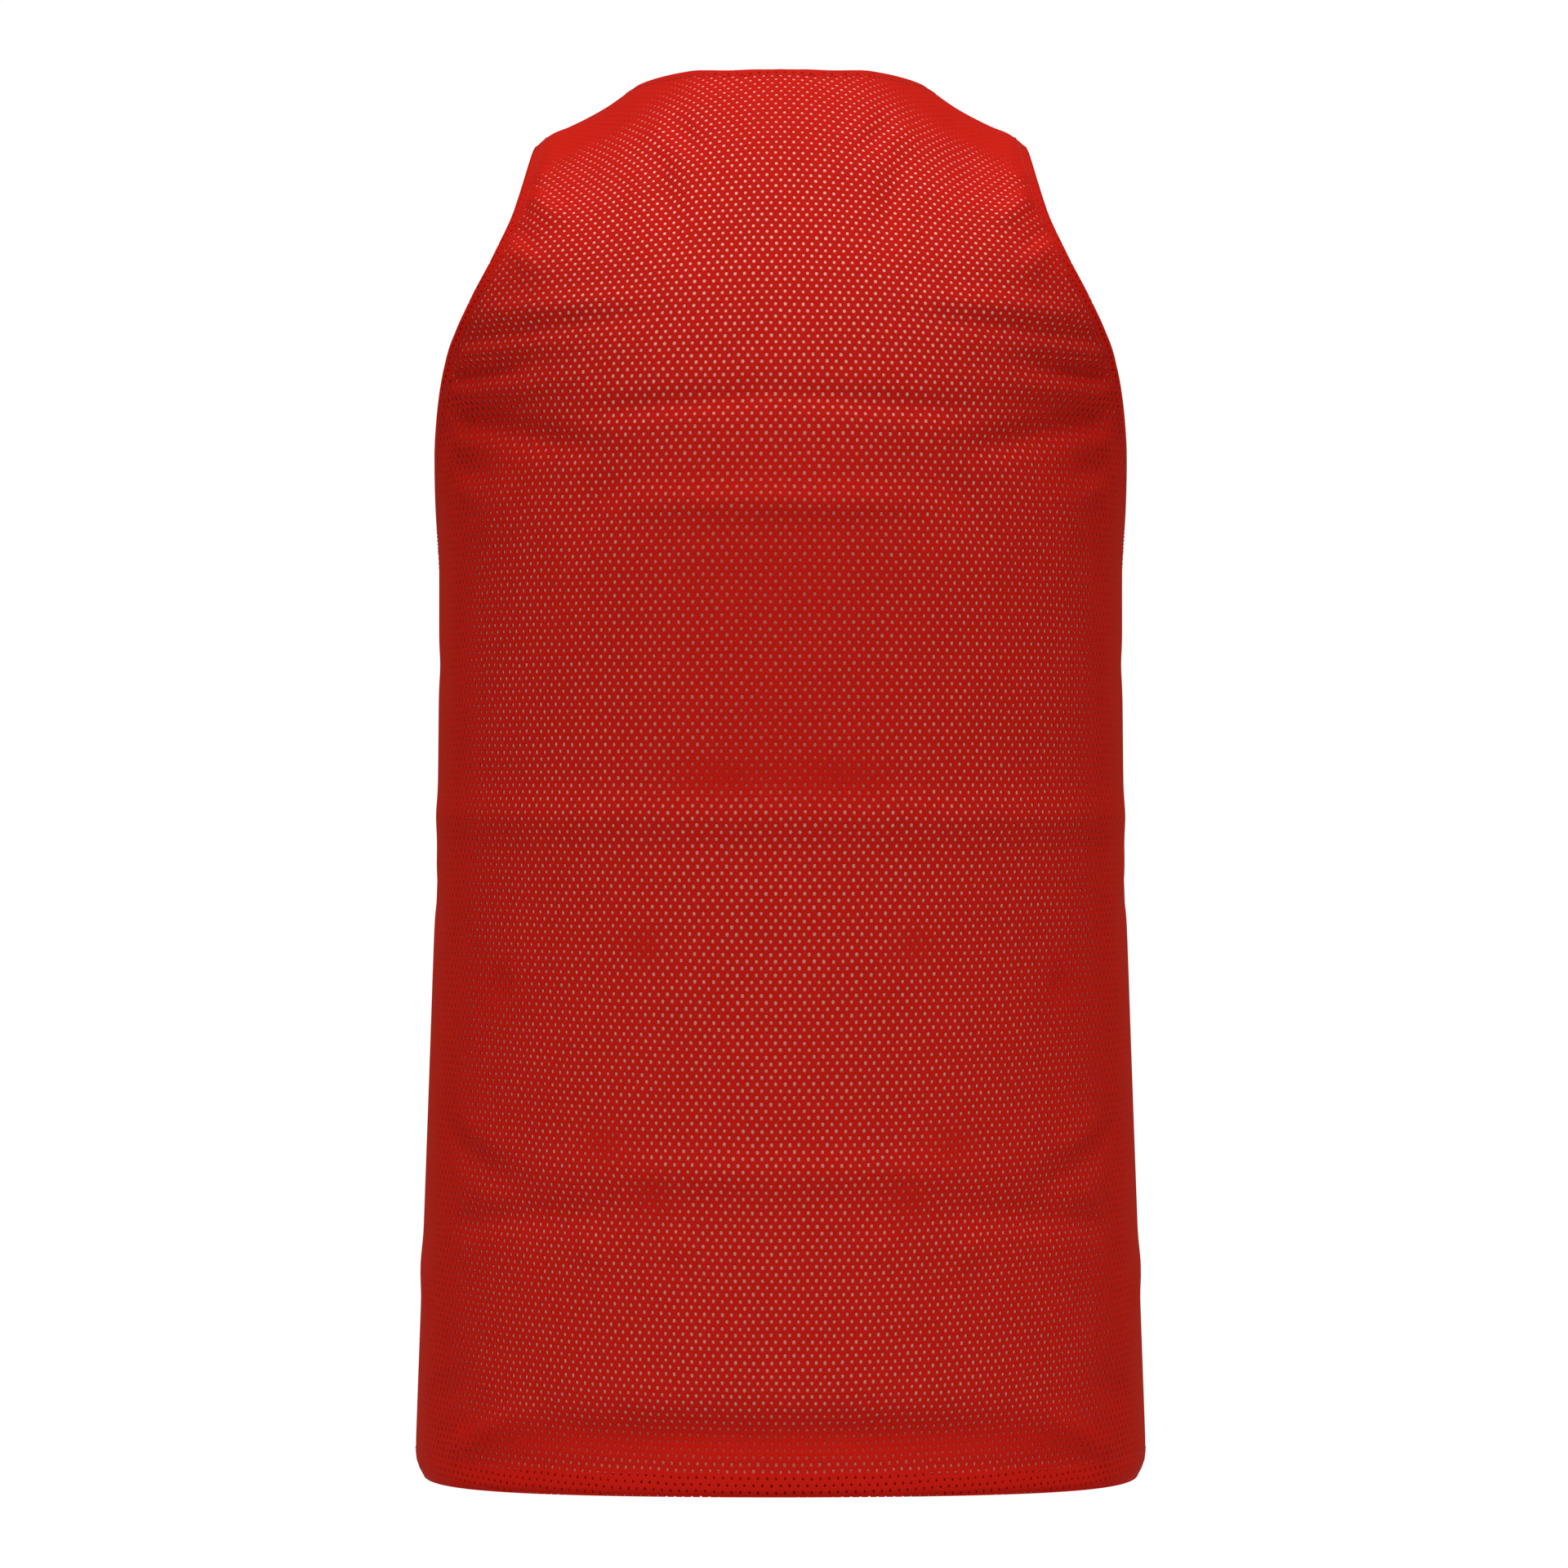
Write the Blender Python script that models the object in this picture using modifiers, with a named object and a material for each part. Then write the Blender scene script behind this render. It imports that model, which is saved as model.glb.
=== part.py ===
"""Two-ply mesh basketball jersey, filled out as if worn, as one closed solid for each cut piece.

The body form turns two numbers into a place: the turn from the middle line to the side, and the
length of cloth up the middle line from the hem. Each panel is a net of such places, with a row or
column of points along its hem, neck, shoulder, armhole and side seam, and along the turned edges.
The back faces -Y, the front +Y, up is +Z, and the origin is where the wearer's shoulders hold it.
"""

from collections import namedtuple

import bpy
import numpy as np

# Driving sizes, in metres. Heights are measured up from the hem at the middle of the back.
WALL = 0.0011
PLY_GAP = 0.0004
SEAM_GAP = 0.0006
HELD_HEIGHT = 0.762
UNDERARM_HEIGHT = 0.503
CROWN_HEIGHT = 0.812
CROWN_START = 0.781
CROWN_POWER = 0.55
NECK_HALF_WIDTH = 0.083
SHOULDER_HALF_WIDTH = 0.138
FRONT_NECK_DROP = 0.165
FRONT_NECK_POWER = 2.3
NECK_CORNER_TURN = np.pi / 4
HEM_TURN = 0.013
EDGE_TURN = 0.007
SIDE_DIP = 0.0090
DIP_FADES_AT = 0.16
SLOPE_STARTS_AT = 0.56
SLOPE_POWER = 2.2

# The net of each half panel: columns from the middle to the side, rows from the hem up. Columns up
# to NECK_COLUMN end at the low part of the neck edge. Rows from NECK_ROW up start at its steep part.
BACK, FRONT = "back", "front"
COLUMNS = 10
NECK_COLUMN = 4
ROWS = 24
UNDERARM_ROW = 9
NECK_ROW = {BACK: 20, FRONT: 18}
BEND_POWER = 4
ROWS_GATHER = 1.35
ARMHOLE_START = 0.3
SIDE_CLEARANCE = 0.001
CURVE_POINTS = 400
STEP = 1e-5

Section = namedtuple("Section", "height back_half front_half back_depth front_depth back_power front_power")
SECTIONS = (
    Section(0.000, 0.208, 0.208, 0.172, 0.150, 1.95, 1.95),
    Section(0.130, 0.203, 0.203, 0.172, 0.148, 1.95, 1.95),
    Section(0.270, 0.198, 0.198, 0.172, 0.146, 1.95, 1.95),
    Section(0.365, 0.195, 0.195, 0.172, 0.145, 2.00, 2.00),
    Section(0.500, 0.194, 0.194, 0.171, 0.147, 2.10, 2.05),
    Section(0.564, 0.199, 0.199, 0.166, 0.149, 2.20, 2.20),
    Section(0.608, 0.203, 0.203, 0.158, 0.147, 2.45, 2.40),
    Section(0.654, 0.207, 0.207, 0.145, 0.138, 2.95, 2.80),
    Section(0.700, 0.209, 0.207, 0.126, 0.122, 3.25, 3.00),
    Section(0.740, 0.209, 0.205, 0.105, 0.101, 3.20, 3.00),
    Section(0.781, 0.207, 0.204, 0.068, 0.066, 3.00, 2.90),
    Section(0.812, 0.205, 0.203, 0.000, 0.000, 2.90, 2.80),
)

ArmholeEdge = namedtuple("ArmholeEdge", "height back_x front_x")
ARMHOLE = (
    ArmholeEdge(0.503, 0.194, 0.194),
    ArmholeEdge(0.530, 0.1949, 0.1915),
    ArmholeEdge(0.566, 0.1943, 0.1858),
    ArmholeEdge(0.584, 0.1927, 0.1834),
    ArmholeEdge(0.602, 0.1900, 0.1793),
    ArmholeEdge(0.622, 0.1850, 0.1720),
    ArmholeEdge(0.655, 0.1710, 0.1540),
    ArmholeEdge(0.690, 0.1560, 0.1400),
    ArmholeEdge(0.725, 0.146, 0.133),
    ArmholeEdge(0.770, 0.1405, 0.134),
    ArmholeEdge(0.812, 0.138, 0.138),
)

ShoulderSlope = namedtuple("ShoulderSlope", "x drop")
SHOULDER = (
    ShoulderSlope(0.000, 0.0018),
    ShoulderSlope(0.012, 0.0026),
    ShoulderSlope(0.030, 0.0066),
    ShoulderSlope(0.046, 0.0113),
    ShoulderSlope(0.056, 0.0165),
    ShoulderSlope(0.066, 0.0227),
    ShoulderSlope(0.083, 0.0343),
    ShoulderSlope(0.100, 0.0463),
    ShoulderSlope(0.120, 0.0568),
    ShoulderSlope(0.128, 0.0600),
    ShoulderSlope(0.138, 0.0675),
    ShoulderSlope(0.170, 0.0810),
    ShoulderSlope(0.210, 0.0910),
)

OUTWARD = {BACK: -1.0, FRONT: 1.0}
RED = (0.62, 0.02, 0.012)
WHITE = (0.80, 0.79, 0.77)
MESH_ROUGHNESS = 0.72


def clear_scene():
    for scene_object in list(bpy.data.objects):
        bpy.data.objects.remove(scene_object, do_unlink=True)


def smooth_curve(table, column, at):
    """The table's column as a smooth curve through its rows, read at the first column's values."""
    knots = np.array([row[0] for row in table])
    values = np.array([getattr(row, column) for row in table])
    steps = np.diff(knots)
    chords = np.diff(values) / steps
    inner = np.where(
        chords[:-1] * chords[1:] > 0,
        2 * chords[:-1] * chords[1:] / np.where(chords[:-1] + chords[1:] == 0, 1, chords[:-1] + chords[1:]),
        0.0,
    )
    slopes = np.concatenate([[chords[0]], inner, [chords[-1]]])
    at = np.clip(at, knots[0], knots[-1])
    left = np.clip(np.searchsorted(knots, at, side="right") - 1, 0, len(steps) - 1)
    part = (at - knots[left]) / steps[left]
    return (
        values[left] * (1 + 2 * part) * (1 - part) ** 2
        + slopes[left] * steps[left] * part * (1 - part) ** 2
        + values[left + 1] * part**2 * (3 - 2 * part)
        + slopes[left + 1] * steps[left] * part**2 * (part - 1)
    )


def depth_at(side, height):
    """How far the middle line stands out from the side seam's plane: the table, then a round crown."""
    column = side + "_depth"
    at_crown = smooth_curve(SECTIONS, column, CROWN_START)
    left = np.clip((CROWN_HEIGHT - height) / (CROWN_HEIGHT - CROWN_START), 0, 1)
    return np.where(height < CROWN_START, smooth_curve(SECTIONS, column, height), at_crown * left**CROWN_POWER)


def middle_line(side):
    """Heights along the middle line, and the length of cloth from the hem to each."""
    below = np.linspace(0, CROWN_START, CURVE_POINTS)
    left = np.linspace(1, 0, CURVE_POINTS)[1:] ** (1 / CROWN_POWER)
    height = np.concatenate([below, CROWN_HEIGHT - (CROWN_HEIGHT - CROWN_START) * left])
    run = np.hypot(np.diff(height), np.diff(depth_at(side, height)))
    return height, np.concatenate([[0], np.cumsum(run)])


def height_of(side, length):
    heights, lengths = middle_line(side)
    return np.interp(length, lengths, heights)


def length_of(side, height):
    heights, lengths = middle_line(side)
    return np.interp(height, heights, lengths)


def place_on_form(side, turn, length):
    """x, y and z on the body form. Its sections are superellipses, and its shoulders slope down."""
    height = height_of(side, length)
    power = smooth_curve(SECTIONS, side + "_power", height)
    x = smooth_curve(SECTIONS, side + "_half", height) * np.sin(turn)
    depth = depth_at(side, height) * np.clip(1 - np.abs(np.sin(turn)) ** power, 0, 1) ** (1 / power)
    slope = np.clip((height - SLOPE_STARTS_AT) / (CROWN_HEIGHT - SLOPE_STARTS_AT), 0, 1) ** SLOPE_POWER
    dip = SIDE_DIP * np.sin(turn) ** 2 * np.clip(1 - height / DIP_FADES_AT, 0, 1) ** 2
    z = height - slope * smooth_curve(SHOULDER, "drop", x) - dip - HELD_HEIGHT
    return np.stack([x, OUTWARD[side] * (SEAM_GAP / 2 + depth), z], axis=-1)


def tangents(side, turn, length):
    """The form's two tangents: along a growing turn, and up a growing length."""
    inner = np.minimum(turn, np.pi / 2 - STEP)
    low = np.minimum(length, length_of(side, CROWN_HEIGHT) - STEP)
    here = place_on_form(side, inner, low)
    return (
        (place_on_form(side, inner + STEP, low) - here) / STEP,
        (place_on_form(side, inner, low + STEP) - here) / STEP,
    )


def turn_at(side, x, length):
    """The turn at which the form is x wide, up to a quarter at the side seam."""
    return np.arcsin(np.clip(x / smooth_curve(SECTIONS, side + "_half", height_of(side, length)), 0, 1))


def edge_turn(side, length):
    """The turn at which the panel ends: the side seam, then the armhole."""
    height = height_of(side, length)
    cut = turn_at(side, smooth_curve(ARMHOLE, side + "_x", height), length)
    return np.where(height <= UNDERARM_HEIGHT, np.pi / 2, cut)


def neck_edge(side, sweep):
    """(turn, length) on the neck edge. The sweep is 0 at the middle and a quarter at the neck point."""
    if side == BACK:
        x = NECK_HALF_WIDTH * np.sin(sweep)
        left = np.cos(sweep) ** (1 / CROWN_POWER)
        height = CROWN_HEIGHT - (CROWN_HEIGHT - CROWN_START) * left
    else:
        x = NECK_HALF_WIDTH * np.sin(sweep) ** (2 / FRONT_NECK_POWER)
        height = CROWN_HEIGHT - FRONT_NECK_DROP * np.clip(np.cos(sweep), 0, 1) ** (2 / FRONT_NECK_POWER)
    length = length_of(side, height)
    return turn_at(side, x, length), length


def inset(side, turn, length, along, distance):
    """(turn, length) moved into the panel, square to an edge that runs along this direction."""
    across, up = tangents(side, turn, length)
    square = np.cross(np.cross(across, up), along)
    square *= distance / np.linalg.norm(square, axis=-1, keepdims=True)
    dot = lambda a, b: (a * b).sum(-1)
    scale = dot(across, across) * dot(up, up) - dot(across, up) ** 2
    more_turn = (dot(square, across) * dot(up, up) - dot(square, up) * dot(across, up)) / scale
    more_length = (dot(square, up) * dot(across, across) - dot(square, across) * dot(across, up)) / scale
    return turn + more_turn, length + more_length


def inside_neck(side, sweep, distance):
    """(turn, length) at this distance inside the neck edge."""
    sweep = np.minimum(sweep, np.pi / 2 - STEP)
    here, after = neck_edge(side, sweep), neck_edge(side, sweep + STEP)
    along = place_on_form(side, *here) - place_on_form(side, *after)
    return inset(side, *here, along, distance)


def inside_armhole(side, length, distance):
    """(turn, length) at this distance inside the armhole edge."""
    length = np.minimum(length, length_of(side, CROWN_HEIGHT) - STEP)
    turn = edge_turn(side, length)
    above = place_on_form(side, edge_turn(side, length + STEP), length + STEP)
    return inset(side, turn, length, above - place_on_form(side, turn, length), distance)


def panel_net(side, clearance=0.0):
    """The (turn, length) of every point of a half panel's net.

    The clearance widens the turned edges, so that a lining's net stops short of them. The points
    inside the neck opening are left at zero, because no cell there is kept.
    """
    band = EDGE_TURN + clearance
    neck_row = NECK_ROW[side]
    turn = np.zeros((ROWS + 1, COLUMNS + 1))
    length = np.zeros((ROWS + 1, COLUMNS + 1))

    # The neck edge, and the line inside it, which turns the corner at the inner point.
    low_sweep = NECK_CORNER_TURN * np.arange(NECK_COLUMN + 1) / NECK_COLUMN
    steep_sweep = np.linspace(NECK_CORNER_TURN, np.pi / 2, ROWS - neck_row + 1)
    low_inner = low_sweep.copy()
    low_inner[-1] = (low_sweep[-2] + low_sweep[-1]) / 2
    steep_inner = steep_sweep.copy()
    steep_inner[0] = (steep_sweep[0] + steep_sweep[1]) / 2
    inner_low = inside_neck(side, np.append(low_inner, NECK_CORNER_TURN), band)
    inner_steep = inside_neck(side, steep_inner, band)
    low_edge, steep_edge = neck_edge(side, low_sweep), neck_edge(side, steep_sweep)

    # Level rows: hem, turned hem, underarm, the row inside the neck, and those up to the crown.
    hem_turn = HEM_TURN + clearance
    underarm = length_of(side, UNDERARM_HEIGHT)
    above = np.linspace(0, 1, neck_row - UNDERARM_ROW)[1:] ** ROWS_GATHER
    level = np.concatenate([
        [0],
        np.linspace(hem_turn, underarm, UNDERARM_ROW),
        underarm + (inner_low[1][-1] - underarm) * above,
        steep_edge[1],
    ])
    inner_row = neck_row - 1

    # The line inside the armhole starts a little way up from the side seam, where the edge is level.
    start = UNDERARM_ROW
    arm_length = level.copy()
    arm_length[start] += (level[start + 1] - level[start]) * ARMHOLE_START
    arm_turn, arm_length = inside_armhole(side, arm_length, band)
    arm_turn[:start] = edge_turn(side, level[:start]) * (1 - 1 / COLUMNS)
    arm_length[:start] = level[:start]

    # Below the neck, columns spread from even shares at the hem to the neck's own columns.
    rise = (level[: inner_row + 1] / level[inner_row])[:, None]
    strap = np.linspace(0, 1, COLUMNS - NECK_COLUMN - 1)
    crest = inner_low[0][-1] + (arm_turn[inner_row] - inner_low[0][-1]) * strap
    shares = np.concatenate([inner_low[0], crest[1:]]) / arm_turn[inner_row]
    even = np.arange(COLUMNS) / (COLUMNS - 1)
    turn[: inner_row + 1, :-1] = arm_turn[: inner_row + 1, None] * (even + (shares - even) * rise)
    bend = np.zeros(COLUMNS + 1)
    bend[: NECK_COLUMN + 2] = inner_low[1] - level[inner_row]
    length[: inner_row + 1] = level[: inner_row + 1, None] + bend * rise**BEND_POWER

    # From the neck's corner up, columns spread from the neck edge to the armhole.
    turn[neck_row, : NECK_COLUMN + 1], length[neck_row, : NECK_COLUMN + 1] = low_edge
    turn[neck_row:, NECK_COLUMN] = steep_edge[0]
    between = arm_turn[neck_row:, None] - inner_steep[0][:, None]
    turn[neck_row:, NECK_COLUMN + 1 : -1] = inner_steep[0][:, None] + between * strap
    length[neck_row:, NECK_COLUMN:] = level[neck_row:, None]
    length[neck_row, NECK_COLUMN + 1] = inner_steep[1][0]

    # Towards the armhole, rows bend to meet the line inside it squarely.
    turn[:, 0] = 0
    turn[:, -1] = edge_turn(side, level)
    length[start:, NECK_COLUMN + 1 : -1] += (arm_length - level)[start:, None] * strap
    length[start, -1] -= SIDE_CLEARANCE * (clearance > 0)
    length[-1] = level[-1]
    return turn, length


def inward_normals(side, turn, length):
    """Unit vectors into the garment, square to the middle plane, and level at the side seam."""
    across, up = tangents(side, turn, length)
    inward = np.cross(up, across) * -OUTWARD[side]
    inward[:, 0, 0] = 0
    inward[: UNDERARM_ROW + 1, -1, 1] = 0
    inward[-1, :, 1] = 0
    return inward / np.maximum(np.linalg.norm(inward, axis=-1, keepdims=True), STEP)


def cloth_object(name, side, points, kept, colour, mirrored=True, flipped=False):
    """A wall of cloth on the kept cells of a grid of points, with its thickness inside."""
    rows, columns = kept.shape
    index = np.arange((rows + 1) * (columns + 1)).reshape(rows + 1, columns + 1)
    low = np.stack([index[:-1, :-1], index[:-1, 1:], index[1:, :-1]], axis=-1)[kept]
    high = np.stack([index[:-1, 1:], index[1:, 1:], index[1:, :-1]], axis=-1)[kept]
    cells = np.concatenate([low, high])
    if (side == FRONT) != flipped:
        cells = cells[:, ::-1]
    used, cells = np.unique(cells, return_inverse=True)
    places = points.reshape(-1, 3)[used]
    if flipped:
        places = places * (-1, 1, 1)
    mesh = bpy.data.meshes.new(name)
    mesh.from_pydata(places.tolist(), [], cells.reshape(-1, 3).tolist())
    mesh.shade_smooth()
    cloth = bpy.data.objects.new(name, mesh)
    bpy.data.collections["basketball_jersey"].objects.link(cloth)
    if mirrored:
        mirror = cloth.modifiers.new("mirror", "MIRROR")
        mirror.merge_threshold = 0.0001
    wall = cloth.modifiers.new("wall", "SOLIDIFY")
    wall.thickness = WALL
    wall.offset = -1
    wall.use_even_offset = True
    mesh.materials.append(cloth_material(name, colour))
    return cloth


def cloth_material(name, colour):
    material = bpy.data.materials.new(name + "_cloth")
    material.use_nodes = True
    shader = material.node_tree.nodes["Principled BSDF"]
    shader.inputs["Base Color"].default_value = (*colour, 1)
    shader.inputs["Roughness"].default_value = MESH_ROUGHNESS
    shader.inputs["Metallic"].default_value = 0
    return material


def build_side(side):
    """The outer panel, its turned neck, hem and armhole edges, and the lining between those edges."""
    row, column = np.indices((ROWS, COLUMNS))
    neck_row = NECK_ROW[side]
    cloth = (row < neck_row) | (column >= NECK_COLUMN)
    net = panel_net(side)
    outer = place_on_form(side, *net)
    cloth_object(side + "_outer", side, outer, cloth, RED)

    hem = row == 0
    low_neck = (row == neck_row - 1) & (column <= NECK_COLUMN)
    steep_neck = (row >= neck_row) & (column == NECK_COLUMN)
    armhole = (row >= UNDERARM_ROW) & (column == COLUMNS - 1)
    turned = outer + (WALL + PLY_GAP) * inward_normals(side, *net)
    cloth_object(side + "_hem_turn", side, turned, hem, RED)
    cloth_object(side + "_neck_turn", side, turned, low_neck | steep_neck, RED)
    cloth_object(side + "_armhole_turn_right", side, turned, armhole, RED, mirrored=False)
    cloth_object(side + "_armhole_turn_left", side, turned, armhole, RED, mirrored=False, flipped=True)

    inner_net = panel_net(side, SEAM_GAP)
    lining = place_on_form(side, *inner_net) + (WALL + PLY_GAP) * inward_normals(side, *inner_net)
    cloth_object(side + "_lining", side, lining, cloth & ~(hem | low_neck | steep_neck | armhole), WHITE)


clear_scene()
bpy.context.scene.collection.children.link(bpy.data.collections.new("basketball_jersey"))
for panel_side in (BACK, FRONT):
    build_side(panel_side)
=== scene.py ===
"""A reversible basketball jersey, filled out: two plies of perforated mesh knit, sewn at every edge.

Axes: the jersey's back faces -Y, its front +Y, and +Z is up. Lengths are in metres.
"""

import logging
from dataclasses import dataclass, field, replace
from enum import Enum
from typing import Any, Callable, NamedTuple, Sequence

import bpy
import numpy as np
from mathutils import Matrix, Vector


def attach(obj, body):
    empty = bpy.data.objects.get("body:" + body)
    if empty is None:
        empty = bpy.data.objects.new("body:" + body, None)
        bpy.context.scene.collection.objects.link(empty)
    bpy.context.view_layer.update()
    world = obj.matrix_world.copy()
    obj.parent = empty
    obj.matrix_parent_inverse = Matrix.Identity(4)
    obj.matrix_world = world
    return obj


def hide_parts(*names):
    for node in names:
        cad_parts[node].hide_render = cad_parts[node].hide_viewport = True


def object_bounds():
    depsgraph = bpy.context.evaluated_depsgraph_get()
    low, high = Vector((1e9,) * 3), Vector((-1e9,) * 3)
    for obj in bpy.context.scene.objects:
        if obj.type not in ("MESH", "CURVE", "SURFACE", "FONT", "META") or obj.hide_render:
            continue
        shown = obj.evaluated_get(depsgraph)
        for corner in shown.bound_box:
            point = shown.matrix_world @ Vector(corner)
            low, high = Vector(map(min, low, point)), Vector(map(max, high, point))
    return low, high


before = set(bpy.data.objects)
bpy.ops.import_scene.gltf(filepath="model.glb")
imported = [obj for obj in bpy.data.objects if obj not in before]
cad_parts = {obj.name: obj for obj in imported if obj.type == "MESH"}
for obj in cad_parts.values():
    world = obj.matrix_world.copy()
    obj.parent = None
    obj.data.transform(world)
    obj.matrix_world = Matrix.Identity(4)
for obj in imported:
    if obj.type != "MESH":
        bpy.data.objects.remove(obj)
CAD_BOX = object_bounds()

Array = np.ndarray
log = logging.getLogger("jersey")

QUARTER = np.pi / 2
STEP = 1e-5


class Side(Enum):
    """The two sides of the garment."""

    BACK = "back"
    FRONT = "front"

    @property
    def outward(self) -> int:
        """The sign of Y on this side."""
        return -1 if self is Side.BACK else 1


class Hand(Enum):
    """The armhole's place, seen from behind."""

    RIGHT = "right"
    LEFT = "left"

    @property
    def sign(self) -> int:
        """The sign of X at this armhole."""
        return 1 if self is Hand.RIGHT else -1


class Section(NamedTuple):
    """A level ring of the filled body: half widths, depths from the side seams, and corner powers."""

    height: float
    back_half: float
    front_half: float
    back_depth: float
    front_depth: float
    back_power: float
    front_power: float


class ArmholeEdge(NamedTuple):
    """How far the armhole's edge stands from the middle at one height."""

    height: float
    back_x: float
    front_x: float


class ShoulderDrop(NamedTuple):
    """How far the shoulder line has dropped at one distance from the middle."""

    x: float
    drop: float


class WalePitch(NamedTuple):
    """The distance between columns of holes at one height, where the cloth is stretched or slack."""

    height: float
    pitch: float


SECTIONS = (
    Section(0.000, 0.208, 0.208, 0.172, 0.150, 1.95, 1.95),
    Section(0.130, 0.203, 0.203, 0.172, 0.148, 1.95, 1.95),
    Section(0.270, 0.198, 0.198, 0.172, 0.146, 1.95, 1.95),
    Section(0.365, 0.195, 0.195, 0.172, 0.145, 2.00, 2.00),
    Section(0.500, 0.194, 0.194, 0.171, 0.147, 2.10, 2.05),
    Section(0.564, 0.199, 0.199, 0.166, 0.149, 2.20, 2.20),
    Section(0.608, 0.203, 0.203, 0.158, 0.147, 2.45, 2.40),
    Section(0.654, 0.207, 0.207, 0.145, 0.138, 2.95, 2.80),
    Section(0.700, 0.209, 0.207, 0.126, 0.122, 3.25, 3.00),
    Section(0.740, 0.209, 0.205, 0.105, 0.101, 3.20, 3.00),
    Section(0.781, 0.207, 0.204, 0.068, 0.066, 3.00, 2.90),
    Section(0.812, 0.205, 0.203, 0.000, 0.000, 2.90, 2.80),
)
ARMHOLE = (
    ArmholeEdge(0.503, 0.1940, 0.1940),
    ArmholeEdge(0.530, 0.1949, 0.1915),
    ArmholeEdge(0.566, 0.1943, 0.1858),
    ArmholeEdge(0.584, 0.1927, 0.1834),
    ArmholeEdge(0.602, 0.1900, 0.1793),
    ArmholeEdge(0.622, 0.1850, 0.1720),
    ArmholeEdge(0.655, 0.1710, 0.1540),
    ArmholeEdge(0.690, 0.1560, 0.1400),
    ArmholeEdge(0.725, 0.1460, 0.1330),
    ArmholeEdge(0.770, 0.1405, 0.1340),
    ArmholeEdge(0.812, 0.1380, 0.1380),
)
SHOULDER = (
    ShoulderDrop(0.000, 0.0018),
    ShoulderDrop(0.012, 0.0026),
    ShoulderDrop(0.030, 0.0066),
    ShoulderDrop(0.046, 0.0113),
    ShoulderDrop(0.056, 0.0165),
    ShoulderDrop(0.066, 0.0227),
    ShoulderDrop(0.083, 0.0343),
    ShoulderDrop(0.100, 0.0463),
    ShoulderDrop(0.120, 0.0568),
    ShoulderDrop(0.128, 0.0600),
    ShoulderDrop(0.134, 0.0640),
    ShoulderDrop(0.138, 0.0675),
    ShoulderDrop(0.170, 0.0810),
    ShoulderDrop(0.210, 0.0910),
)
WALES = (
    WalePitch(0.000, 0.00475),
    WalePitch(0.100, 0.00485),
    WalePitch(0.166, 0.00500),
    WalePitch(0.232, 0.00510),
    WalePitch(0.298, 0.00520),
    WalePitch(0.365, 0.00530),
    WalePitch(0.430, 0.00530),
    WalePitch(0.497, 0.00525),
    WalePitch(0.562, 0.00518),
    WalePitch(0.608, 0.00507),
    WalePitch(0.653, 0.00490),
    WalePitch(0.698, 0.00485),
    WalePitch(0.812, 0.00485),
)

# The share of a panel's rows that run past the neck's steep part.
NECK_ROWS = {Side.BACK: 0.09, Side.FRONT: 0.2}

HELD_HEIGHT = 0.762
UNDERARM_HEIGHT = 0.503
CROWN_HEIGHT = 0.812
CROWN_START = 0.781
CROWN_POWER = 0.55
NECK_HALF_WIDTH = 0.083
FRONT_NECK_DROP = 0.165
FRONT_NECK_POWER = 2.3
HEM_TURN = 0.013
EDGE_TURN = 0.007
SIDE_DIP = 0.0090
DIP_FADES_AT = 0.16
SLOPE_STARTS_AT = 0.56
SLOPE_POWER = 2.2
WALE_PITCH = 0.0052
COURSE_PITCH = 0.00365
CLOTH_THICKNESS = 0.0005
STRIP_THICKNESS = 0.0003
TURN_DEPTH = 0.0013
STITCH_INSET = 0.0008
# The lining reaches this far past the inner line of each turned edge.
LINING_OVERLAP = 0.0018
# Moves a ply's holes half a wale sideways, so that they don't line up with the red panel's.
HALF_WALE = (0.5 * WALE_PITCH, 0.0)
NEAR_END = 1e-4


def smooth_step(at: Array) -> Array:
    """0 below 0, 1 above 1, and 3t^2 - 2t^3 between.

    Args:
        at: The values t.

    Returns:
        The step at each value.
    """
    t = np.clip(at, 0, 1)
    return t * t * (3 - 2 * t)


@dataclass(frozen=True)
class SmoothTable:
    """One column of a table as a smooth curve through its rows.

    Between rows it is a cubic whose slope at a row is the harmonic mean of the two chords beside it,
    or level where they differ in sign, so that the curve never swings past its rows.
    """

    knots: Array
    values: Array

    @classmethod
    def column(cls, table: Sequence[Any], name: str) -> "SmoothTable":
        """The named column against the table's first one."""
        knots = np.array([row[0] for row in table])
        return cls(knots, np.array([getattr(row, name) for row in table]))

    def __call__(self, at: Array) -> Array:
        """The curve's value at each place.

        Args:
            at: Places along the table's first column. Beyond its ends the end row's value holds.

        Returns:
            The values.
        """
        steps = np.diff(self.knots)
        chords = np.diff(self.values) / steps
        product, total = chords[:-1] * chords[1:], chords[:-1] + chords[1:]
        inner = np.where(product > 0, 2 * product / np.where(total == 0, 1, total), 0.0)
        slopes = np.concatenate([[chords[0]], inner, [chords[-1]]])
        at = np.clip(at, self.knots[0], self.knots[-1])
        left = np.clip(np.searchsorted(self.knots, at, side="right") - 1, 0, len(steps) - 1)
        part = (at - self.knots[left]) / steps[left]
        return (
            self.values[left] * (1 + 2 * part) * (1 - part) ** 2
            + slopes[left] * steps[left] * part * (1 - part) ** 2
            + self.values[left + 1] * part**2 * (3 - 2 * part)
            + slopes[left + 1] * steps[left] * part**2 * (part - 1)
        )


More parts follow.
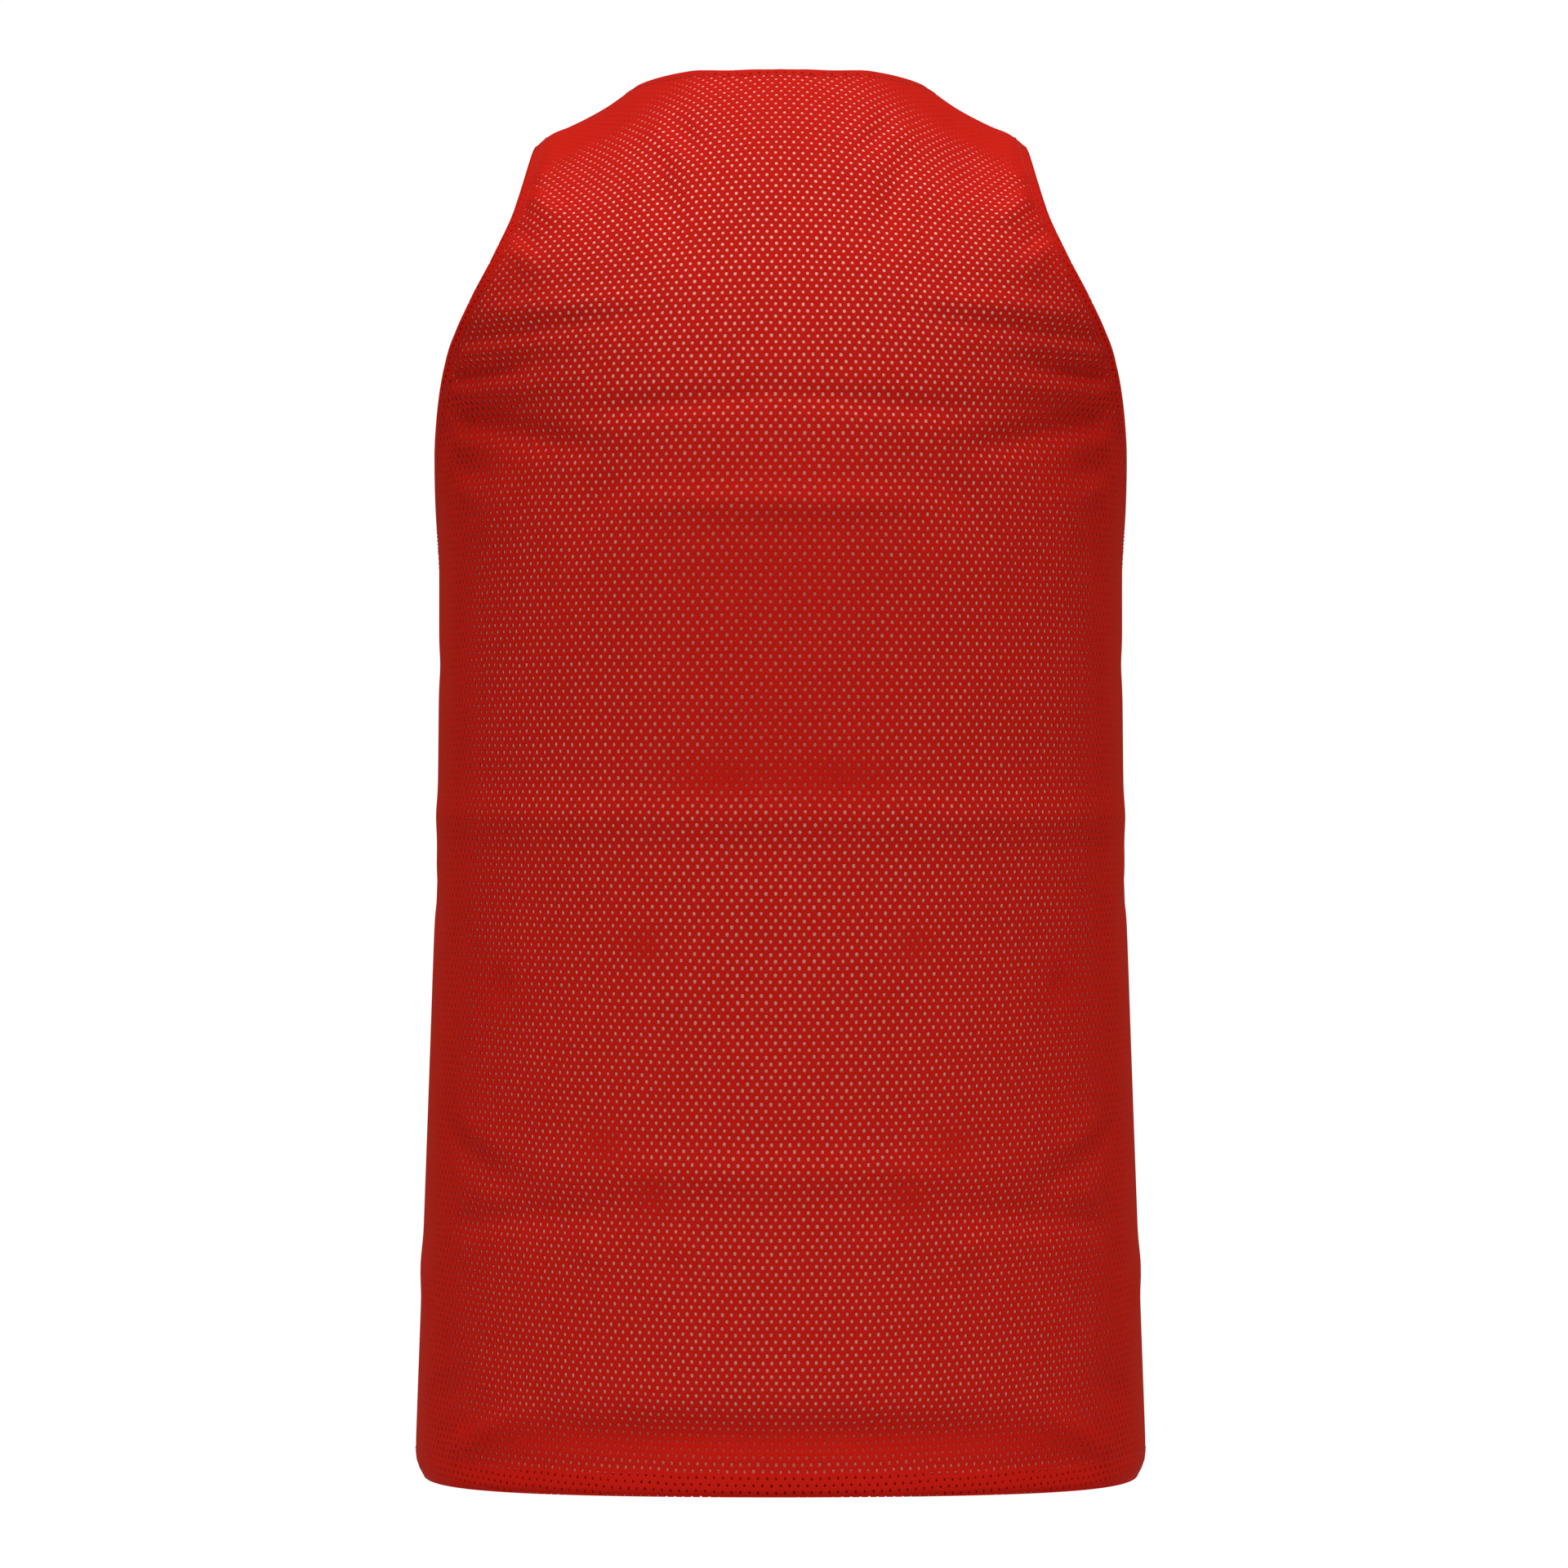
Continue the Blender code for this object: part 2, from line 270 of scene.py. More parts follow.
@dataclass(frozen=True)
class Crease:
    """A soft ridge or trough in the cloth, from one point to another.

    The lift across it is a bell curve, and along it the lift fades in and out over its end shares.
    Points are (around, height): metres round the body from the middle, and metres above the hem.
    """

    start: tuple[float, float]
    end: tuple[float, float]
    lift: float
    width: float
    bow: float = 0.0
    fade_in: float = 0.35
    fade_out: float = 0.35

    def at(self, around: Array, height: Array) -> Array:
        """The lift out of the cloth at each point.

        Args:
            around: Metres round the body from the middle.
            height: Metres above the hem.

        Returns:
            Metres of lift, below zero in a trough.
        """
        run = np.subtract(self.end, self.start)
        length = np.hypot(*run)
        run = run / length
        away = (around - self.start[0], height - self.start[1])
        along = (away[0] * run[0] + away[1] * run[1]) / length
        inside = np.clip(along, 0, 1)
        across = away[1] * run[0] - away[0] * run[1] - self.bow * 4 * inside * (1 - inside)
        ends = smooth_step(along / self.fade_in) * smooth_step((1 - along) / self.fade_out)
        return self.lift * ends * np.exp(-((across / self.width) ** 2))


@dataclass(frozen=True)
class Patch:
    """A round patch with soft edges: 1 in its middle, and falling as a bell curve."""

    middle: tuple[float, float]
    reach: tuple[float, float]
    amount: float

    def at(self, around: Array, height: Array) -> Array:
        """The amount at each point, by metres round from the middle and metres above the hem."""
        across = (around - self.middle[0]) / self.reach[0]
        up = (height - self.middle[1]) / self.reach[1]
        return self.amount * np.exp(-(across**2) - up**2)


# Each crease of the back is on both halves, because the cloth hangs evenly there.
BACK_CREASES = (
    # The fan of creases that starts at each armhole's lower half.
    Crease((0.200, 0.633), (0.045, 0.6405), -0.0018, 0.0050, 0.002, 0.12, 0.75),
    Crease((0.175, 0.646), (0.050, 0.6490), 0.0011, 0.0070, 0.0, 0.2, 0.6),
    Crease((0.205, 0.620), (0.125, 0.6260), 0.0014, 0.0050, 0.001, 0.15, 0.6),
    Crease((0.215, 0.611), (0.120, 0.6160), -0.0024, 0.0055, 0.001, 0.12, 0.6),
    Crease((0.220, 0.598), (0.095, 0.6050), 0.0019, 0.0065, 0.002, 0.15, 0.6),
    Crease((0.225, 0.592), (0.078, 0.5600), -0.0024, 0.0075, 0.003, 0.15, 0.45),
    Crease((0.135, 0.583), (-0.060, 0.6000), -0.0014, 0.0060, 0.002, 0.3, 0.6),
    Crease((0.225, 0.573), (0.150, 0.5690), 0.0013, 0.0055, 0.001, 0.2, 0.6),
    Crease((0.222, 0.560), (0.165, 0.5510), -0.0010, 0.0050, 0.001, 0.2, 0.6),
    Crease((0.222, 0.546), (0.170, 0.5370), 0.0009, 0.0060, 0.0, 0.25, 0.6),
    Crease((0.088, 0.556), (0.125, 0.4900), -0.0014, 0.0095, 0.004, 0.3, 0.6),
    Crease((0.160, 0.548), (0.196, 0.5080), 0.0008, 0.0070, 0.002, 0.3, 0.5),
    # The short ridges and the long troughs that run down from each strap.
    Crease((0.142, 0.738), (0.116, 0.6960), 0.0021, 0.0060, 0.001, 0.3, 0.4),
    Crease((0.150, 0.712), (0.130, 0.6780), -0.0013, 0.0060, 0.001, 0.3, 0.5),
    Crease((0.148, 0.700), (0.128, 0.6600), 0.0012, 0.0065, 0.001, 0.3, 0.5),
    Crease((0.146, 0.760), (0.128, 0.7400), 0.0010, 0.0060, 0.0, 0.3, 0.5),
    Crease((0.082, 0.772), (0.053, 0.6560), -0.0015, 0.0080, -0.004, 0.3, 0.45),
    Crease((0.064, 0.768), (0.040, 0.7250), -0.0013, 0.0060, 0.001, 0.3, 0.5),
    Crease((0.074, 0.768), (0.070, 0.7300), 0.0014, 0.0085, 0.0, 0.35, 0.5),
    Crease((0.108, 0.770), (0.104, 0.7100), -0.0007, 0.0100, 0.003, 0.35, 0.5),
    # Level steps, where the cloth breaks over the shoulder blades and the waist.
    Crease((-0.120, 0.5330), (0.120, 0.5330), 0.0013, 0.0080, 0.001),
    Crease((-0.330, 0.3640), (0.330, 0.3640), 0.0011, 0.0110, 0.0, 0.15, 0.15),
    Crease((-0.180, 0.1720), (0.180, 0.1720), 0.0010, 0.0100, 0.001),
    Crease((0.225, 0.1360), (0.050, 0.1500), -0.0012, 0.0085, -0.004, 0.15, 0.6),
    Crease((0.120, 0.1290), (0.095, 0.1300), 0.0008, 0.0080, 0.0, 0.4, 0.4),
    Crease((0.068, 0.1330), (0.040, 0.1330), 0.0007, 0.0070, 0.0, 0.4, 0.4),
    Crease((0.240, 0.1980), (0.124, 0.1520), -0.0011, 0.0100, 0.004, 0.25, 0.45),
    Crease((0.222, 0.2000), (0.150, 0.1780), 0.0007, 0.0080, 0.003, 0.3, 0.5),
    Crease((0.185, 0.2740), (0.160, 0.2680), -0.0009, 0.0090, 0.0, 0.4, 0.4),
    # The soft valley above the hem's stitches, and the pulls towards its ends.
    Crease((-0.175, 0.0300), (0.175, 0.0300), -0.0024, 0.0110, 0.002, 0.3, 0.3),
    Crease((0.225, 0.0140), (0.135, 0.0520), 0.0013, 0.0070, 0.003, 0.2, 0.5),
    Crease((0.250, 0.0420), (0.180, 0.0640), -0.0009, 0.0080, 0.003, 0.3, 0.5),
    # Around the sides, where the cloth turns to the front.
    Crease((0.300, 0.4600), (0.215, 0.4300), -0.0006, 0.0100, 0.004),
    Crease((0.302, 0.3300), (0.235, 0.2950), -0.0008, 0.0100, -0.003),
    Crease((0.305, 0.1250), (0.245, 0.0900), 0.0007, 0.0095, 0.003),
)
# The front hangs from the straps too, and its creases differ a little from half to half.
FRONT_CREASES = (
    Crease((0.200, 0.604), (0.070, 0.5720), -0.0022, 0.0075, 0.003, 0.15, 0.5),
    Crease((0.190, 0.622), (0.110, 0.6060), 0.0016, 0.0060, 0.002, 0.15, 0.6),
    Crease((0.215, 0.583), (0.120, 0.5480), 0.0016, 0.0070, 0.004, 0.15, 0.5),
    Crease((0.220, 0.566), (0.145, 0.5290), -0.0014, 0.0065, 0.002, 0.2, 0.5),
    Crease((-0.198, 0.608), (-0.062, 0.5800), -0.0020, 0.0080, 0.003, 0.15, 0.5),
    Crease((-0.185, 0.626), (-0.120, 0.6150), 0.0013, 0.0055, 0.002, 0.15, 0.6),
    Crease((-0.218, 0.587), (-0.105, 0.5520), 0.0018, 0.0065, -0.003, 0.15, 0.5),
    Crease((-0.222, 0.561), (-0.160, 0.5300), -0.0012, 0.0070, 0.002, 0.2, 0.5),
    Crease((0.098, 0.760), (0.080, 0.6500), -0.0012, 0.0080, 0.003),
    Crease((-0.104, 0.755), (-0.086, 0.6650), -0.0014, 0.0075, -0.003),
    Crease((0.010, 0.630), (0.020, 0.5200), -0.0008, 0.0140, 0.004),
    Crease((-0.140, 0.5150), (0.085, 0.5220), 0.0009, 0.0095, 0.002),
    Crease((-0.330, 0.3620), (0.330, 0.3680), 0.0011, 0.0110, 0.001, 0.15, 0.15),
    Crease((-0.200, 0.1800), (0.140, 0.1660), 0.0010, 0.0100, 0.002),
    Crease((0.235, 0.1900), (0.118, 0.1500), -0.0016, 0.0080, 0.004, 0.2, 0.5),
    Crease((-0.240, 0.2060), (-0.130, 0.1490), -0.0014, 0.0085, 0.004, 0.2, 0.5),
    Crease((-0.160, 0.0300), (0.185, 0.0300), -0.0022, 0.0110, 0.002, 0.3, 0.3),
    Crease((0.290, 0.4400), (0.210, 0.4050), -0.0010, 0.0100, 0.003),
    Crease((-0.285, 0.4700), (-0.215, 0.4200), -0.0012, 0.0095, 0.004),
    Crease((-0.290, 0.1100), (-0.225, 0.0800), 0.0012, 0.0095, 0.003),
)

# The back's soft swell over each shoulder blade, and the hollow under it beside the armhole.
SWELLS = (
    Patch((0.138, 0.695), (0.045, 0.045), 0.0045),
    Patch((0.168, 0.590), (0.050, 0.040), -0.0055),
    Patch((0.103, 0.546), (0.045, 0.028), -0.0021),
)
# Where the lining hangs away from the outer cloth.
POCKETS = (
    Patch((0.0, 0.510), (0.105, 0.070), 0.0003),
    Patch((0.175, 0.590), (0.045, 0.045), 0.0002),
)
# How far, from 0 to 1, painted shade darkens the lining's face: where it has sunk away into the shade behind
# the outer cloth's holes.
PAINTED_SHADE_PATCHES = (
    Patch((0.0, 0.500), (0.105, 0.090), 0.50),
    Patch((0.0, 0.410), (0.075, 0.030), 0.25),
    Patch((0.038, 0.386), (0.024, 0.011), 0.22),
    Patch((0.0, 0.384), (0.075, 0.013), 0.30),
    Patch((0.075, 0.295), (0.011, 0.010), 0.45),
    Patch((0.097, 0.187), (0.014, 0.012), 0.40),
    Patch((0.070, 0.160), (0.011, 0.014), 0.40),
    Patch((0.175, 0.270), (0.018, 0.018), 0.40),
    Patch((0.130, 0.480), (0.012, 0.050), 0.15),
    Patch((0.195, 0.575), (0.050, 0.055), 0.55),
    Patch((0.145, 0.680), (0.018, 0.030), 0.45),
    Patch((0.0, 0.026), (0.400, 0.014), 0.60),
    Patch((0.290, 0.270), (0.090, 0.500), 0.60),
    Patch((0.0, 0.150), (0.600, 0.420), 0.47),
    Patch((0.0, 0.760), (0.045, 0.035), 0.35),
)


@dataclass
class BodyForm:
    """The hollow form that one side of the filled garment takes."""

    side: Side
    samples: int = 400
    arc_samples: int = 241
    half: SmoothTable = field(init=False)
    depth_table: SmoothTable = field(init=False)
    power: SmoothTable = field(init=False)
    armhole: SmoothTable = field(init=False)
    drop: SmoothTable = field(init=False)
    heights: Array = field(init=False)
    lengths: Array = field(init=False)
    arc_turns: Array = field(init=False)
    arc_lengths: Array = field(init=False)
    arcs: Array = field(init=False)

    def __post_init__(self) -> None:
        """Read the tables, and measure the cloth up the middle and around each level."""
        name = self.side.value
        self.half = SmoothTable.column(SECTIONS, f"{name}_half")
        self.depth_table = SmoothTable.column(SECTIONS, f"{name}_depth")
        self.power = SmoothTable.column(SECTIONS, f"{name}_power")
        self.armhole = SmoothTable.column(ARMHOLE, f"{name}_x")
        self.drop = SmoothTable.column(SHOULDER, "drop")
        below = np.linspace(0, CROWN_START, self.samples)
        left = np.linspace(1, 0, self.samples)[1:] ** (1 / CROWN_POWER)
        self.heights = np.concatenate([below, CROWN_HEIGHT - (CROWN_HEIGHT - CROWN_START) * left])
        run = np.hypot(np.diff(self.heights), np.diff(self.depth(self.heights)))
        self.lengths = np.concatenate([[0], np.cumsum(run)])
        self.arc_turns = np.linspace(0, QUARTER, self.arc_samples)
        self.arc_lengths = np.linspace(0, self.lengths[-1], self.arc_samples)
        rings = self.skin(self.arc_turns[None, :], self.arc_lengths[:, None])
        parts = np.linalg.norm(np.diff(rings, axis=1), axis=-1)
        self.arcs = np.concatenate([np.zeros((len(rings), 1)), np.cumsum(parts, axis=1)], axis=1)

    @property
    def top(self) -> float:
        """The cloth's length up the middle, from the hem to the crest."""
        return float(self.lengths[-1])

    def depth(self, height: Array) -> Array:
        """How far the middle stands out: the table, then a crown that rounds over to nothing."""
        left = np.clip((CROWN_HEIGHT - height) / (CROWN_HEIGHT - CROWN_START), 0, 1)
        crown = self.depth_table(np.array(CROWN_START)) * left**CROWN_POWER
        return np.where(height < CROWN_START, self.depth_table(height), crown)

    def height_of(self, length: Array) -> Array:
        """The height at each length of cloth up the middle."""
        return np.interp(length, self.lengths, self.heights)

    def length_of(self, height: Array) -> Array:
        """The length of cloth up the middle to each height."""
        return np.interp(height, self.heights, self.lengths)

    def dip(self, turn: Array, height: Array) -> Array:
        """How far the hem hangs lower towards the sides: a sine squared that fades out upwards."""
        return SIDE_DIP * np.sin(turn) ** 2 * np.clip(1 - height / DIP_FADES_AT, 0, 1) ** 2

    def skin(self, turn: Array, length: Array) -> Array:
        """Points on the form.

        x is the half width times the sine of the turn. The depth is the superellipse's, the middle
        depth times (1 - |sine|^power)^(1/power). z is the height, less the shoulders' slope and the dip.

        Args:
            turn: Radians from the middle, below zero at the left.
            length: Metres of cloth up from the hem.

        Returns:
            The points, with x, y and z on the last axis.
        """
        turn, length = np.broadcast_arrays(turn, length)
        height = self.height_of(length)
        power = self.power(height)
        sine = np.sin(turn)
        x = self.half(height) * sine
        depth = self.depth(height) * np.clip(1 - np.abs(sine) ** power, 0, 1) ** (1 / power)
        risen = (height - SLOPE_STARTS_AT) / (CROWN_HEIGHT - SLOPE_STARTS_AT)
        slope = np.clip(risen, 0, 1) ** SLOPE_POWER
        z = height - slope * self.drop(np.abs(x)) - self.dip(turn, height) - HELD_HEIGHT
        return np.stack([x, self.side.outward * depth, z], axis=-1)

    def around(self, turn: Array, length: Array) -> Array:
        """Metres of cloth from the middle at a level: a table of arcs read bilinearly.

        Args:
            turn: Radians from the middle.
            length: Metres of cloth up from the hem.

        Returns:
            The arcs, with the turn's sign.
        """
        turn, length = np.broadcast_arrays(turn, length)
        last = self.arc_samples - 1.001
        column = np.clip(np.abs(turn) / self.arc_turns[1], 0, last)
        row = np.clip(length / self.arc_lengths[1], 0, last)
        c, r = column.astype(int), row.astype(int)
        right, up = column - c, row - r
        low = self.arcs[r, c] * (1 - right) + self.arcs[r, c + 1] * right
        high = self.arcs[r + 1, c] * (1 - right) + self.arcs[r + 1, c + 1] * right
        return np.sign(turn) * (low * (1 - up) + high * up)

    def turn_at(self, x: Array, length: Array) -> Array:
        """The turn at which the form is x wide."""
        return np.arcsin(np.clip(x / self.half(self.height_of(length)), 0, 1))

    def edge_turn(self, length: Array) -> Array:
        """The turn at which the panel ends: at the side seam, then at the armhole."""
        height = self.height_of(length)
        return np.where(height <= UNDERARM_HEIGHT, QUARTER, self.turn_at(self.armhole(height), length))

    def neck_edge(self, sweep: Array) -> tuple[Array, Array]:
        """The neck's edge, as turns and lengths.

        The back's is an arc over the crown, x as the sweep's sine. The front's is a superellipse.

        Args:
            sweep: Radians, from 0 in the middle to a quarter turn at the neck point.

        Returns:
            The turns, and the lengths up the cloth.
        """
        if self.side is Side.BACK:
            x = NECK_HALF_WIDTH * np.sin(sweep)
            left = np.clip(np.cos(sweep), 0, 1) ** (1 / CROWN_POWER)
            height = CROWN_HEIGHT - (CROWN_HEIGHT - CROWN_START) * left
        else:
            x = NECK_HALF_WIDTH * np.sin(sweep) ** (2 / FRONT_NECK_POWER)
            fallen = np.clip(np.cos(sweep), 0, 1) ** (2 / FRONT_NECK_POWER)
            height = CROWN_HEIGHT - FRONT_NECK_DROP * fallen
        length = self.length_of(height)
        return self.turn_at(x, length), length


@dataclass
class ClothSurface:
    """One side's cloth on its form, with its creases, pockets and seams.

    An armhole's stitches hold the cloth, so creases and swells lose their held shares beside it. The
    hem's stitches, step and flare fade towards the side seams, where the corner curls in.
    """

    form: BodyForm
    crease_strength: float = 1.45
    crease_held: float = 0.8
    swell_held: float = 0.6
    held_width: float = 0.016
    crest_fade: float = 0.02
    above_underarm: float = 0.01
    seam_groove: float = 0.0007
    seam_width: float = 0.0024
    seam_overrun: float = 0.004
    hem_fade: float = 0.8
    stitch_dent: float = 0.0011
    stitch_width: float = 0.0019
    band_step: float = 0.0006
    band_rise: float = 0.004
    band_flare: float = 0.0014
    corner_curl: float = 0.0055
    lining_gap: float = 0.0007
    pocket_fade: float = 0.03
    turn_fade: float = 0.002
    course_climb: float = 0.004
    climb_below: float = 0.36
    climb_fade: float = 0.2

    def to_edge(self, turn: Array, length: Array) -> Array:
        """Metres of cloth, at a level, from each point to the panel's edge."""
        return self.form.around(self.form.edge_turn(length), length) - np.abs(self.form.around(turn, length))

    def armhole_part(self, height: Array) -> Array:
        """1 above the underarm, where the panel's edge is the armhole's, and 0 below."""
        return smooth_step((height - UNDERARM_HEIGHT) / self.above_underarm)

    def lift(self, turn: Array, length: Array) -> Array:
        """How far the cloth stands out of the form: creases and swells, less the seams, and the hem.

        Args:
            turn: Radians from the middle.
            length: Metres of cloth up from the hem.

        Returns:
            Metres outward, along the form's normals.
        """
        height = self.form.height_of(length)
        around = self.form.around(turn, length)
        back = self.form.side is Side.BACK
        place = np.abs(around) if back else around
        total = sum(crease.at(place, height) for crease in (BACK_CREASES if back else FRONT_CREASES))
        held = self.armhole_part(height) * (1 - smooth_step(self.to_edge(turn, length) / self.held_width))
        total = total * (self.crease_strength - self.crease_held * held)
        if back:
            total = total + sum(swell.at(place, height) for swell in SWELLS) * (1 - self.swell_held * held)
        to_seam = self.form.around(np.full_like(turn, QUARTER), length) - np.abs(around)
        low = smooth_step((UNDERARM_HEIGHT + self.seam_overrun - height) / self.above_underarm)
        seam = self.seam_groove * np.exp(-((to_seam / self.seam_width) ** 2)) * low
        settle = smooth_step((self.form.top - length) / self.crest_fade)
        return total * settle - seam + self.hem(turn, length)

    def hem(self, turn: Array, length: Array) -> Array:
        """The hem's relief: a groove along the stitches, a step and a flare below, and curled corners.

        Args:
            turn: Radians from the middle.
            length: Metres of cloth up from the hem.

        Returns:
            Metres outward.
        """
        below = HEM_TURN - length
        share = np.clip(below / HEM_TURN, 0, 1)
        groove = self.stitch_dent * np.exp(-((below / self.stitch_width) ** 2))
        band = self.band_step * smooth_step(below / self.band_rise) + self.band_flare * share
        inside = 1 - self.hem_fade * np.sin(turn) ** 8
        return (band - groove) * inside - self.corner_curl * share**2 * np.sin(turn) ** 10

    def gap(self, turn: Array, length: Array) -> Array:
        """How far the lining hangs behind the outer cloth's face.

        Args:
            turn: Radians from the middle.
            length: Metres of cloth up from the hem.

        Returns:
            Metres inward.
        """
        around = np.abs(self.form.around(turn, length))
        room = sum(pocket.at(around, self.form.height_of(length)) for pocket in POCKETS)
        edge = np.minimum(length, self.form.top - length) / self.pocket_fade
        return self.lining_gap + room * smooth_step(edge)

    def turned(self, turn: Array, length: Array) -> Array:
        """Where the panel is doubled by the hem's or an armhole's turn: 1 there, and 0 elsewhere.

        Args:
            turn: Radians from the middle.
            length: Metres of cloth up from the hem.

        Returns:
            The shares, from 0 to 1.
        """
        hem = 1 - smooth_step((length - HEM_TURN + self.turn_fade) / self.turn_fade)
        armhole = 1 - smooth_step((self.to_edge(turn, length) - EDGE_TURN) / self.turn_fade)
        return np.maximum(hem, armhole * self.armhole_part(self.form.height_of(length)))

    def tangents(self, turn: Array, length: Array) -> tuple[Array, Array]:
        """The form's tangents round and up, by small steps away from its poles."""
        inner = np.clip(turn, -QUARTER, QUARTER - STEP)
        low = np.minimum(length, self.form.top - STEP)
        here = self.form.skin(inner, low)
        across = self.form.skin(inner + STEP, low) - here
        return across / STEP, (self.form.skin(inner, low + STEP) - here) / STEP

    def outward(self, across: Array, up: Array) -> Array:
        """Unit normals that point out of the garment."""
        normal = np.cross(across, up) * -self.form.side.outward
        return normal / np.maximum(np.linalg.norm(normal, axis=-1, keepdims=True), 1e-12)

    def form_normal(self, turn: Array, length: Array) -> Array:
        """Unit outward normals of the form under the cloth, kept in the plane of the seams."""
        turn, length = np.broadcast_arrays(turn, length)
        normal = self.outward(*self.tangents(turn, length))
        normal[np.abs(turn) >= QUARTER - 1e-9, 1] = 0
        normal[length >= self.form.top - 1e-9, 1] = 0
        return normal / np.maximum(np.linalg.norm(normal, axis=-1, keepdims=True), 1e-12)

    def point(self, turn: Array, length: Array, inward: Array | float = 0.0) -> Array:
        """Points of the cloth, moved inward along the form's normals.

        Args:
            turn: Radians from the middle.
            length: Metres of cloth up from the hem.
            inward: Metres behind the outer face.

        Returns:
            The points.
        """
        turn, length = np.broadcast_arrays(turn, length)
        out = self.lift(turn, length) - inward
        return self.form.skin(turn, length) + out[..., None] * self.form_normal(turn, length)

    def inset(self, turn: Array, length: Array, along: Array, distance: float) -> tuple[Array, Array]:
        """(turn, length) moved into the panel, square to an edge that runs along a direction.

        The move's two parts solve the surface's two-by-two metric, so that its length is the distance.

        Args:
            turn: Radians from the middle, on the edge.
            length: Metres of cloth up from the hem, on the edge.
            along: The edge's direction at each point.
            distance: Metres into the panel.

        Returns:
            The turns and the lengths.
        """
        across, up = self.tangents(turn, length)
        square = np.cross(np.cross(across, up), along)
        square = square * distance / np.linalg.norm(square, axis=-1, keepdims=True)
        cc, uu, cu = (across * across).sum(-1), (up * up).sum(-1), (across * up).sum(-1)
        sc, su = (square * across).sum(-1), (square * up).sum(-1)
        scale = cc * uu - cu**2
        return turn + (sc * uu - su * cu) / scale, length + (su * cc - sc * cu) / scale

    def cloth_map(self, turn: Array, length: Array) -> Array:
        """The knit's own coordinates, in metres: wales round from the middle, and courses up.

        Wales are spread by the pitch at their height. Courses run level, so they leave the hem where
        it dips, and they climb a little towards the sides low down.

        Args:
            turn: Radians from the middle.
            length: Metres of cloth up from the hem.

        Returns:
            The coordinates, with the two on the last axis.
        """
        turn, length = np.broadcast_arrays(turn, length)
        height = self.form.height_of(length)
        wales = self.form.around(turn, length) * WALE_PITCH / SmoothTable.column(WALES, "pitch")(height)
        low = smooth_step((self.climb_below - height) / self.climb_fade)
        climb = self.course_climb * np.sin(turn) ** 2 * low
        return np.stack([wales, length - self.form.dip(turn, height) - climb], axis=-1)


@dataclass
class GridMesh:
    """A rectangular grid of points, with its map and the cells that are cloth."""

    points: Array
    cloth_map: Array
    kept: Array
    shares: dict[str, Array] = field(default_factory=dict)

    def build(self, name: str, outward: Array) -> bpy.types.Object:
        """Make the mesh object.

        Args:
            name: The piece's name.
            outward: A rough outward direction for each point, which the faces are turned to.

        Returns:
            The object, linked to the scene.
        """
        rows, columns = self.kept.shape
        index = np.arange((rows + 1) * (columns + 1)).reshape(rows + 1, columns + 1)
        corners = [index[:-1, :-1], index[:-1, 1:], index[1:, 1:], index[1:, :-1]]
        cells = np.stack(corners, axis=-1)[self.kept]
        flat = self.points.reshape(-1, 3)
        crossed = np.cross(flat[cells[:, 2]] - flat[cells[:, 0]], flat[cells[:, 3]] - flat[cells[:, 1]])
        if (crossed * outward.reshape(-1, 3)[cells[:, 0]]).sum() < 0:
            cells = cells[:, ::-1]
        used, corners = np.unique(cells, return_inverse=True)
        corners = corners.reshape(-1, 4)
        mesh = bpy.data.meshes.new(name)
        mesh.from_pydata(flat[used].tolist(), [], corners.tolist())
        layer = mesh.uv_layers.new(name="cloth")
        loops = np.empty(len(mesh.loops), np.int32)
        mesh.loops.foreach_get("vertex_index", loops)
        layer.data.foreach_set("uv", self.cloth_map.reshape(-1, 2)[used][loops].astype(np.float32).ravel())
        for share, values in self.shares.items():
            attribute = mesh.attributes.new(share, "FLOAT", "POINT")
            attribute.data.foreach_set("value", values.reshape(-1)[used].astype(np.float32))
        mesh.shade_smooth()
        mesh.validate()
        piece = bpy.data.objects.new(name, mesh)
        bpy.context.scene.collection.objects.link(piece)
        return piece


def mirrored(half: Array, signed: bool = False) -> Array:
    """A grid from the middle to the right edge, continued to the left edge.

    Args:
        half: The right half, with the middle as its first column.
        signed: True where the left half's values are below zero.

    Returns:
        The whole grid, from left to right.
    """
    left = half[:, :0:-1]
    return np.concatenate([-left if signed else left, half], axis=1)


